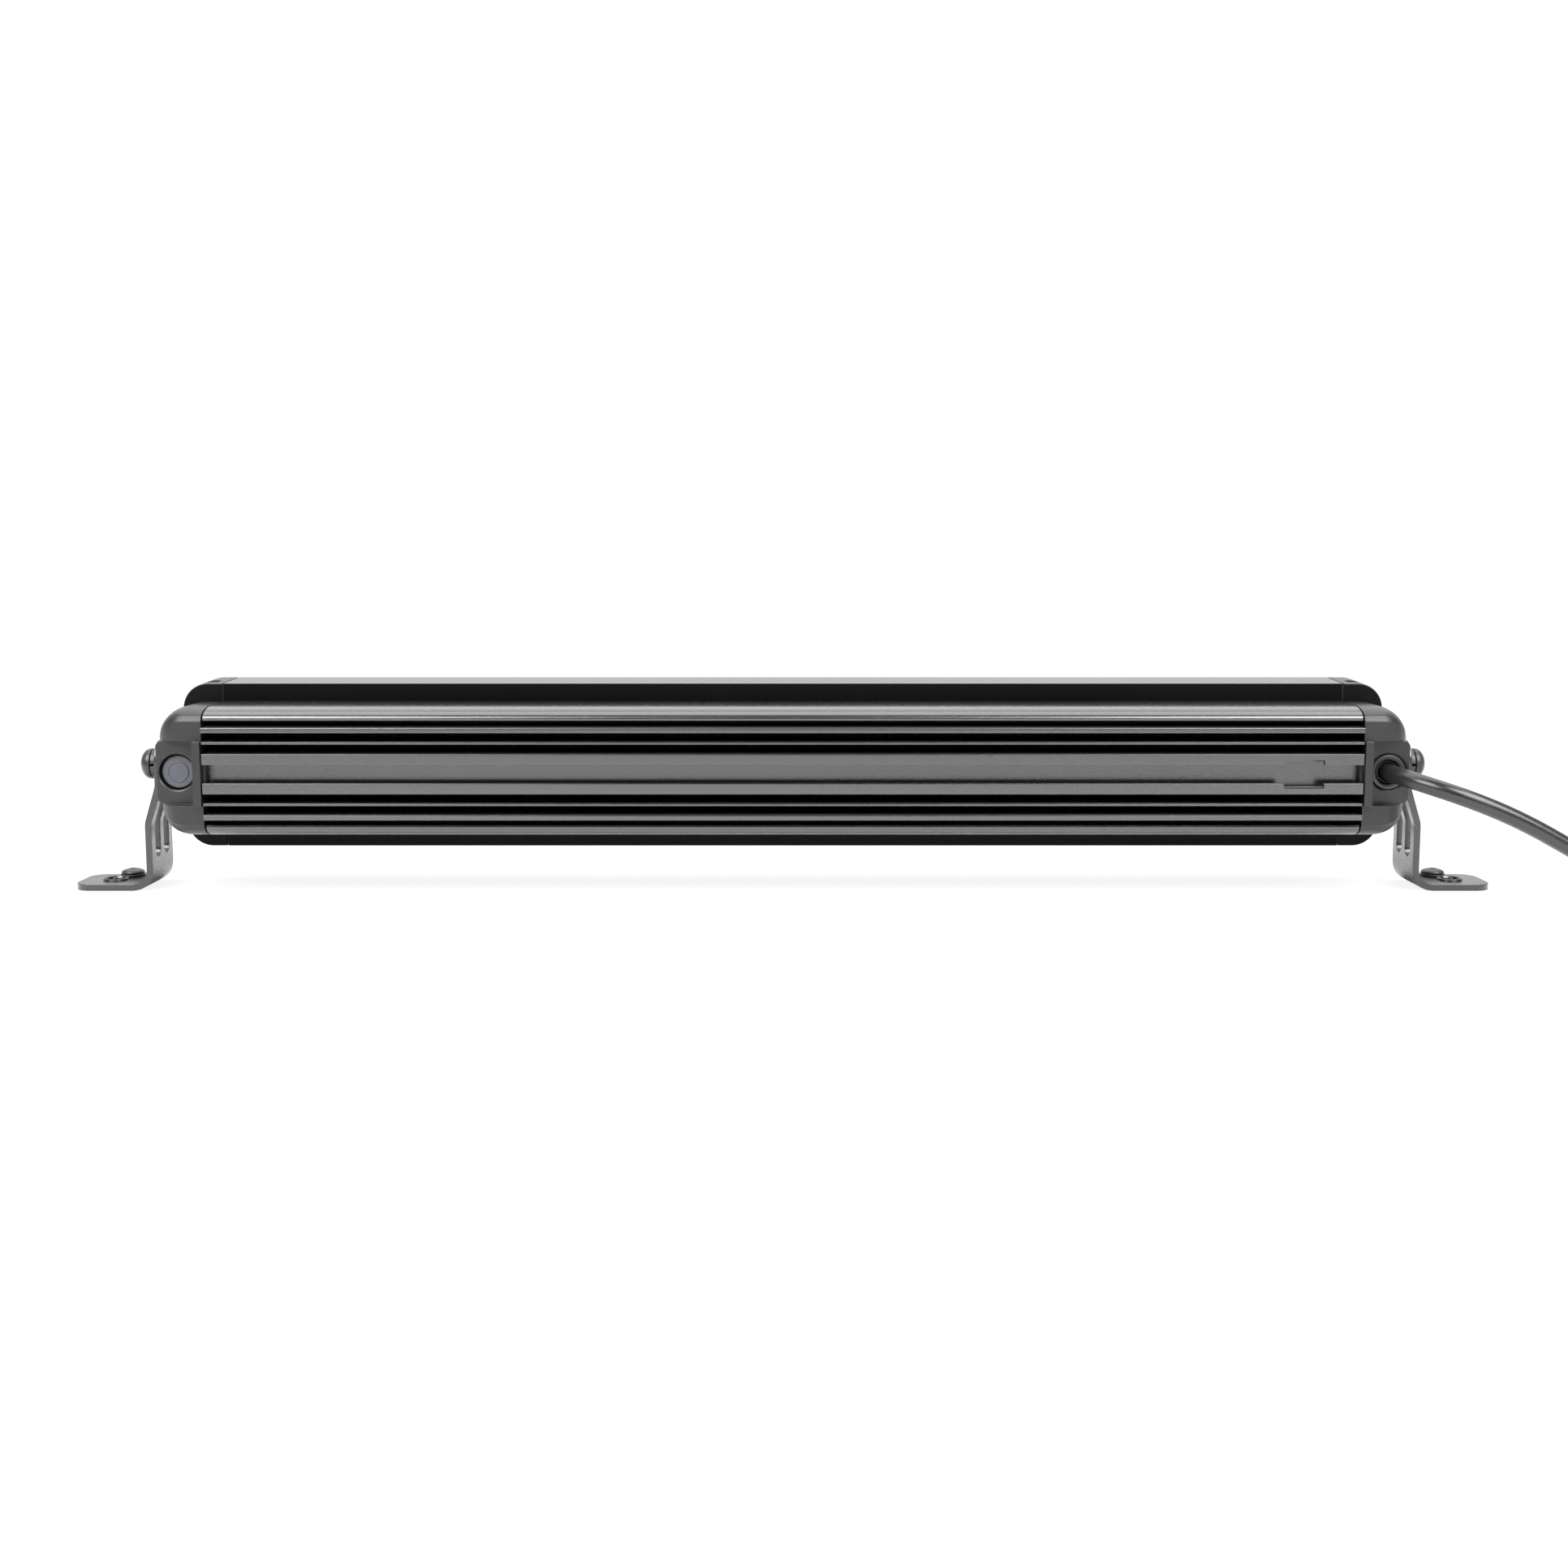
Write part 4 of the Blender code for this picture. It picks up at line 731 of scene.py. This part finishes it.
def make_board():
    half_x, half_z = BOARD_HALF
    board = softened(box((-half_x, half_x), BOARD, (-half_z, half_z)), 0.15, 1)
    holes = [rod(BOARD_SCREW_CLEARANCE, BOARD[0] - 2, BOARD[1] + 2, "Y", (x, 0, 0), 24)
             for x in BOARD_SCREWS_X]
    piece("light_board", cut(board, gathered(*holes)), "board_white", "led_board")
    lamps = []
    for x in cup_places():
        for z in (-CUP_ROW, CUP_ROW):
            profile = [(0, BOARD[1] + 0.02), (1.5, BOARD[1] + 0.02), (1.5, 32.2), (1.42, 32.33)]
            profile += [(1.3, 32.38), (0.8, 32.46), (0, 32.5)]
            lamps.append(lathe(profile, "Y", (x, 0, z), 24))
    piece("light_sources", gathered(*lamps), "phosphor", "led_board")
    for number, x in enumerate(BOARD_SCREWS_X):
        top = BOARD[1] + 1.0
        profile = [(0, 26.2), (0.9, 26.2), (1.2, 26.6), (1.2, BOARD[1] + 0.3), (2.4, BOARD[1] + 0.3)]
        profile += [(2.38, BOARD[1] + 0.6), (2.0, top - 0.1), (1.7, top), (0, top)]
        socket_screw(f"board_fixing_{number + 1}", "tin_plate", f"board_screw_{number + 1}", "Y",
                     (x, 0, 0), profile, top, 1.6, 0.5, 1, 28)


# ---- Vent and lead entry ----


def make_vent():
    port = (-PORT_X, 0, 0)
    cap = [(0, 10.62), (4.2, 10.62), (4.35, 10.35), (4.5, 10.2), (4.7, 10.2), (4.85, 10.35), (5.0, 10.62)]
    cap += [(6.8, 10.62), (7.25, 10.72), (7.65, 11.0), (7.9, 11.45), (7.9, 12.6), (0, 12.6)]
    piece("vent_button", lathe(cap, "Y", port, 64), "vent_plastic", "vent_cap", smooth=60)
    body = [(0, 12.9), (6.2, 12.9), (6.4, 13.1), (6.4, 15.5), (3.7, 15.5), (3.7, 22.6), (3.4, 23.0)]
    body += [(1.6, 23.0), (1.6, 14.4), (0, 14.4)]
    piece("vent_stem", lathe(body, "Y", port), "plug_plastic", "vent_body")
    ring = lathe(arc((5.1, 16.75), (0.95, 0.95), 0, 345, 23), "Y", port)
    piece("vent_ring", ring, "black_rubber", "vent_o_ring", smooth=60)


def make_gland():
    port = (PORT_X, 0, 0)
    sleeve = [(5.5, 9.4), (5.8, 9.0), (6.2, 8.75), (6.6, 8.7), (7.4, 8.7), (7.8, 8.8), (8.0, 9.0)]
    sleeve += [(8.1, 9.3), (8.1, 17.7), (5.5, 17.7)]
    piece("gland_ring", lathe(sleeve, "Y", port, 64), "plug_plastic", "gland_sleeve", smooth=60)
    grommet = [(4.45, 10.7), (4.55, 10.45), (4.8, 10.4), (5.05, 10.45), (5.2, 10.7), (5.2, 17.7)]
    grommet += [(4.45, 17.7)]
    piece("gland_seal", lathe(grommet, "Y", port), "black_rubber", "gland_grommet", smooth=60)


# ---- Brackets and their fasteners ----


def bracket_path():
    """The middle of the plate, from its round top to the foot's tip, as (X, Z)."""
    top_x, foot_z = BRACKET_INNER + PLATE / 2, PLATE / 2 + FLOOR
    corners = [(top_x, LEG_TOP), (top_x, -8.5), (top_x + LEG_SPREAD, -26), (top_x + LEG_SPREAD, foot_z),
               (FOOT_END, foot_z)]
    path = [Vector(corners[0])]
    for before, corner, after, radius in zip(corners, corners[1:], corners[2:], (12, 12, 9.5)):
        path += bend(before, corner, after, radius, 14)
    return [*path, Vector(corners[-1])]


def stations(path, round_top, round_tip):
    """Adds points near both ends, where the outline rounds off, and gives each its half width."""
    angles = range(0, 91, 9)
    rows = [(point, PLATE_HALF_WIDTH) for point in path[1:-1]]
    for radius, points, at_start in ((round_top, path[:2], True), (round_tip, path[:-3:-1], False)):
        way = (points[1] - points[0]).normalized()
        end = []
        for angle in angles:
            step = radius * (1 - math.cos(math.radians(angle)))
            drop = radius * (1 - math.sin(math.radians(angle)))
            end.append((points[0] + way * step, PLATE_HALF_WIDTH - drop))
        rows = end + rows if at_start else rows + end[::-1]
    return rows


def make_bracket(side, name):
    rows = stations(bracket_path(), 10, 8)
    pivot_y = PIVOT[0]
    sections = []
    for i, (point, half) in enumerate(rows):
        way = (rows[min(i + 1, len(rows) - 1)][0] - rows[max(i - 1, 0)][0]).normalized()
        out = Vector((-way.y, way.x)) * PLATE / 2
        corners = [(point + out, -half), (point + out, half), (point - out, half), (point - out, -half)]
        sections.append([(side * xz.x, pivot_y + y, xz.y) for xz, y in corners])
    plate = softened(loft(sections), 0.45)

    foot_top = PLATE + FLOOR
    hole = (side * FOOT_HOLE[0], pivot_y + FOOT_HOLE[1], 0)
    screw = (side * FOOT_SCREW[0], pivot_y + FOOT_SCREW[1], 0)
    dish = [(0, foot_top - 1), (6.0, foot_top - 1), (6.0, foot_top + 0.55), (5.85, foot_top + 0.85)]
    dish += [(5.5, foot_top + 1.0), (5.1, foot_top + 0.9), (0, foot_top + 0.9)]
    plate = join(plate, lathe(dish, "Z", hole, 56))

    high, low = (end - LEG_SLOT_RADIUS * step for end, step in zip(LEG_SLOT_ENDS, (1, -1)))
    leg_x = span(side, BRACKET_INNER - 5, BRACKET_INNER + 15)
    openings = []
    for offset in (-LEG_SLOT_OFFSET, LEG_SLOT_OFFSET):
        ends = arc((pivot_y + offset, high), (LEG_SLOT_RADIUS,) * 2, 0, 180, 14)
        ends += arc((pivot_y + offset, low), (LEG_SLOT_RADIUS,) * 2, 180, 360, 14)
        openings.append(prism(ends, "X", *leg_x))
    openings.append(rod(BOLT_CLEARANCE, *leg_x, "X", (0, *PIVOT)))
    flare = [(0, foot_top - 10), (4.4, foot_top - 10), (4.4, foot_top - 0.4), (4.6, foot_top + 0.2)]
    flare += [(5.2, foot_top + 0.95), (5.2, foot_top + 5), (0, foot_top + 5)]
    openings.append(lathe(flare, "Z", hole, 48))
    openings.append(rod(FOOT_SCREW_CLEARANCE, foot_top - 10, foot_top + 5, "Z", screw))
    piece(f"leg_plate_{name}", cut(plate, gathered(*openings)), "black_plate", f"bracket_{name}", smooth=32)

    washer = [(3.3, foot_top + 0.3), (5.8, foot_top + 0.3), (5.9, foot_top + 0.4), (5.9, foot_top + 0.95)]
    washer += [(5.75, foot_top + 1.1), (3.3, foot_top + 1.1)]
    piece(f"foot_ring_{name}", lathe(washer, "Z", screw), "black_steel", f"foot_washer_{name}")
    seat = foot_top + 1.4
    profile = [(0, foot_top + 0.3 - PLATE), (2.7, foot_top + 0.3 - PLATE), (3, foot_top + 0.6 - PLATE)]
    profile += [(3, seat), (5.3, seat), (5.45, seat + 0.15)]
    profile += arc((0, seat + 0.4), (5.45, 1.9), 0, 72, 12)
    top = profile[-1][1]
    profile += [(0, top)]
    socket_screw(f"foot_bolt_{name}", "black_steel", f"foot_screw_{name}", "Z", screw, profile, top,
                 3.2, 1.2)


def make_pivot(side, name):
    bore, outer = 4.2, BRACKET_INNER + PLATE
    rows = (("nylon_ring", "pivot_washer", 9.0, CAP_SIDE + 0.3, BRACKET_INNER - 0.3, "nylon"),
            ("flat_ring", "flat_washer", 8.5, outer + 0.3, outer + 2.0, "black_steel"),
            ("spring_ring", "spring_washer", 7.2, outer + 2.3, outer + 4.6, "black_steel"))
    for label, node, radius, start, end, finish in rows:
        profile = [(bore, start), (radius - 0.2, start), (radius, start + 0.2), (radius, end - 0.2)]
        profile += [(radius - 0.2, end), (bore, end)]
        ring = lathe([(r, side * along) for r, along in profile], "X", (0, *PIVOT), 56)
        if label == "spring_ring":
            ring = cut(ring, box(span(side, start - 1, end + 1), (PIVOT[0] - 10, PIVOT[0]), (0.4, 1.6)))
        piece(f"{label}_{name}", ring, finish, f"{node}_{name}")
    seat = outer + 4.9
    profile = [(0, 282), (3.3, 282), (3.7, 282.5), (3.7, seat), (7.0, seat), (7.2, seat + 0.2)]
    profile += arc((0, seat + 1.0), (7.2, 4.6), 0, 62, 16)
    top = profile[-1][1]
    profile += [(0, top)]
    socket_screw(f"pivot_stud_{name}", "black_steel", f"pivot_bolt_{name}", "X", (0, *PIVOT), profile, top,
                 5.0, 2.6, side, 64)


# ---- Tie and connector on the lead ----


def make_tie():
    """A strap drawn round the two turns, with its ratchet head on top."""
    y_in = COIL_CENTRE[1] + COIL_INNER - LEAD_RADIUS
    y_out = COIL_CENTRE[1] + COIL_OUTER + LEAD_RADIUS
    z_low, z_high = COIL_LOW - LEAD_RADIUS, COIL_LOW + LEAD_RADIUS
    loops = []
    for clear in (0.3, 1.3):
        low, high = z_low - min(clear, 0.95), z_high + clear
        corners = [(y_in - clear, low), (y_out + clear, low), (y_out + clear, high), (y_in - clear, high)]
        loops.append(rounded_outline([(y, z, LEAD_RADIUS + clear) for y, z in corners], 8))
    x0, x1 = COIL_CENTRE[0] - 2.4, COIL_CENTRE[0] + 2.4
    strap = cut(softened(prism(loops[1], "X", x0, x1), 0.25, 2), prism(loops[0], "X", x0 - 2, x1 + 2))
    middle = (y_in + y_out) / 2
    head = box((x0 - 1, x1 + 1), (middle - 3, middle + 3), (z_high + 0.6, z_high + 5.0))
    tail = box((x0 + 0.5, x1 - 0.5), (middle - 0.6, middle + 0.6), (z_high + 4, z_high + 9))
    strap = join(strap, softened(head, 0.5), softened(tail, 0.2, 1))
    return piece("lead_strap", strap, "nylon", "cable_tie")


def plug_outline(inset, radius):
    y, z = PLUG_AXIS
    return [(y + a, z + b) for a, b in rounded_plate(PLUG_HALF[0] - inset, PLUG_HALF[1] - inset, radius)]


def make_connector():
    """A sealed two-way connector: its body, and the seal, wedge and pins inside."""
    place = (0, *PLUG_AXIS)
    shell, front, floor = PLUG_START + 4, PLUG_START + 40, PLUG_START + 20
    body = softened(prism(plug_outline(0, 2.4), "X", shell, front), 0.6)
    collar = [(0, PLUG_START), (6.2, PLUG_START), (6.6, PLUG_START + 0.4), (6.6, shell + 1), (0, shell + 1)]
    latch_z = PLUG_AXIS[1] + PLUG_HALF[1]
    latch = box((PLUG_START + 14, PLUG_START + 34), (PLUG_AXIS[0] - 3, PLUG_AXIS[0] + 3),
                (latch_z - 1, latch_z + 1.8))
    body = join(body, lathe(collar, "X", place), softened(latch, 0.5))
    grooves = [prism(plug_outline(-1, 3), "X", x, x + 1.1) for x in (shell + 5, shell + 7.4)]
    cores = [prism(plug_outline(0.5, 2), "X", x - 1, x + 2.1) for x in (shell + 5, shell + 7.4)]
    for groove, core in zip(grooves, cores):
        body = cut(body, cut(groove, core))
    body = cut(body, prism(plug_outline(2, 1.6), "X", floor, front + 3))
    pieces = [piece("connector_shell", body, "plug_plastic", "connector_body")]
    seal = cut(prism(plug_outline(2.3, 1.4), "X", floor + 0.3, floor + 3),
               prism(plug_outline(3.3, 1), "X", floor - 2, floor + 5))
    pieces.append(piece("connector_gasket", seal, "seal_red", "connector_seal"))
    wedge = softened(prism(plug_outline(3.6, 0.8), "X", floor + 0.3, front - 4), 0.3, 2)
    holes = []
    for number, offset in enumerate((-2.2, 2.2)):
        pin_place = (0, PLUG_AXIS[0] + offset, PLUG_AXIS[1])
        holes.append(rod(1.3, floor - 1, front, "X", pin_place, 24))
        pin = [(0, floor + 0.3), (0.9, floor + 0.3), (0.9, front - 3), (0.7, front - 2.4), (0.4, front - 2)]
        pin = lathe([*pin, (0, front - 2)], "X", pin_place, 24)
        blade, node = f"connector_blade_{number + 1}", f"connector_pin_{number + 1}"
        pieces.append(piece(blade, pin, "tin_plate", node))
    pieces.append(piece("connector_lock", cut(wedge, gathered(*holes)), "wedge_orange", "connector_wedge"))
    return pieces


# ---- CAD nodes that stay, with their own finish, welded and smooth-shaded ----

KEPT_NODES = {
    "end_gasket_left": "black_rubber",
    "end_gasket_right": "black_rubber",
    "thermal_pad": "thermal_grey",
    "driver_board": "board_green",
    "board_link": "flex_film",
    "internal_lead_positive": "wire_red",
    "internal_lead_negative": "wire_black",
}


def finish_kept_nodes():
    for name, finish in KEPT_NODES.items():
        node = frame["nodes"][name]
        node.data.materials.clear()
        node.data.materials.append(MATERIALS[finish])
        weld = node.modifiers.new("weld", "WELD")
        weld.merge_threshold = 0.00001
        node.data.shade_smooth()


# ---- Floor and lights, in metres ----

FLOOR_HALF, FLOOR_WHITE, FLOOR_FADE = 6.0, 0.86, (0.45, 0.9)

# Soft boxes: each one's name, place, target, size, and how bright its face is
LIGHTS = (
    ("top", (0, 0.33, 1.10), (0, 0.05, 0), (1.9, 0.75), 3.4),
    ("beyond", (0, 0.90, 0.68), (0, 0, 0.05), (1.9, 0.50), 1.4),
    ("front", (-0.70, -0.68, 0.87), (-0.15, 0, 0.05), (0.90, 0.70), 14.0),
    ("front", (0.70, -0.68, 0.87), (0.15, 0, 0.05), (0.90, 0.70), 14.0),
)


def make_floor():
    """A pale floor that gives way to the white surroundings some way off."""
    bm = bmesh.new()
    corners = ((-1, -1), (1, -1), (1, 1), (-1, 1))
    bm.faces.new([bm.verts.new((FLOOR_HALF * a, FLOOR_HALF * b, 0)) for a, b in corners])
    mesh = bpy.data.meshes.new("floor")
    bm.to_mesh(mesh)
    bm.free()
    floor = bpy.data.objects.new("floor", mesh)
    bpy.context.scene.collection.objects.link(floor)
    material = bpy.data.materials.new("floor")
    material.use_nodes = True
    tree = material.node_tree
    shader = tree.nodes["Principled BSDF"]
    place = add(tree, "ShaderNodeTexCoord").outputs["Object"]
    grain = add(tree, "ShaderNodeTexNoise", {"Vector": place, "Scale": 60.0, "Detail": 3}).outputs["Fac"]
    pale = mixed(tree, grain, (0.84, 0.84, 0.84, 1), (0.88, 0.88, 0.88, 1))
    tree.links.new(pale, shader.inputs["Base Color"])
    shader.inputs["Roughness"].default_value = 0.9
    shader.inputs["Specular IOR Level"].default_value = 0.1
    path = add(tree, "ShaderNodeLightPath")

    # The eye sees it nearly white, with a faint shadow, and clear some way off
    white = add(tree, "ShaderNodeEmission", {"Color": (1, 1, 1, 1), "Strength": 1.0}).outputs[0]
    paler = add(tree, "ShaderNodeMath", {0: path.outputs["Is Camera Ray"], 1: FLOOR_WHITE},
                operation="MULTIPLY")
    seen = add(tree, "ShaderNodeMixShader", {0: paler.outputs[0], 1: shader.outputs[0], 2: white}).outputs[0]
    away = add(tree, "ShaderNodeVectorMath", {0: place}, operation="LENGTH").outputs["Value"]
    fade = ranged(tree, away, 0, 1, *FLOOR_FADE)
    fade = add(tree, "ShaderNodeMath", {0: fade, 1: path.outputs["Is Camera Ray"]}, operation="MULTIPLY")
    clear = add(tree, "ShaderNodeBsdfTransparent").outputs[0]
    mix = add(tree, "ShaderNodeMixShader", {0: fade.outputs[0], 1: seen, 2: clear}).outputs[0]
    tree.links.new(mix, tree.nodes["Material Output"].inputs["Surface"])
    mesh.materials.append(material)


def make_light(name, place, target, size, radiance):
    """A soft box; its power follows from how bright its face is."""
    data = bpy.data.lights.new(name, "AREA")
    data.shape = "RECTANGLE"
    data.size, data.size_y = size
    data.energy = radiance * math.pi * size[0] * size[1]
    light = bpy.data.objects.new(name, data)
    light.location = place
    light.rotation_euler = (Vector(target) - Vector(place)).to_track_quat("-Z", "Y").to_euler()
    light.visible_camera = False
    bpy.context.scene.collection.objects.link(light)


def make_world():
    """White to the eye; for light, bright low down beyond the bar and dim behind the camera."""
    world = bpy.data.worlds.new("studio")
    world.use_nodes = True
    bpy.context.scene.world = world
    tree = world.node_tree
    way = add(tree, "ShaderNodeTexCoord").outputs["Generated"]
    split = add(tree, "ShaderNodeSeparateXYZ", {"Vector": way})
    beyond = ranged(tree, split.outputs["Y"], 0.0, 1.0, -0.15, 0.55)
    low = ranged(tree, split.outputs["Z"], 1.0, 0.35, 0.15, 0.75)
    glow = add(tree, "ShaderNodeMath", {0: beyond, 1: low}, operation="MULTIPLY").outputs[0]
    level = ranged(tree, glow, 0.12, 1.2, 0.0, 1.0)
    seen = add(tree, "ShaderNodeLightPath").outputs["Is Camera Ray"]
    tint = mixed(tree, 1.0, (0, 0, 0, 1), (0.97, 0.97, 1.0, 1))
    lit = add(tree, "ShaderNodeBackground", {"Color": tint, "Strength": level}).outputs[0]
    white = add(tree, "ShaderNodeBackground", {"Color": (1, 1, 1, 1), "Strength": 1.0}).outputs[0]
    mix = add(tree, "ShaderNodeMixShader", {0: seen, 1: lit, 2: white}).outputs[0]
    tree.links.new(mix, tree.nodes["World Output"].inputs["Surface"])


def make_stage():
    make_floor()
    make_world()
    for light in LIGHTS:
        make_light(*light)
    bpy.context.scene.view_settings.view_transform = "Standard"
    bpy.context.scene.view_settings.look = "None"


def main():
    make_camera()
    lead, length = make_lead()
    pieces = [make_tie(), *make_connector()]
    make_extrusion()
    make_lens()
    make_board()
    make_vent()
    make_gland()
    for up, name in ((1, "upper"), (-1, "lower")):
        make_reflector(up, name)
    for name, side in SIDES.items():
        make_cap(side, name)
        make_cap_screws(side, name)
        make_pivot(side, name)
        make_bracket(side, name)
    finish_kept_nodes()
    make_stage()


main()
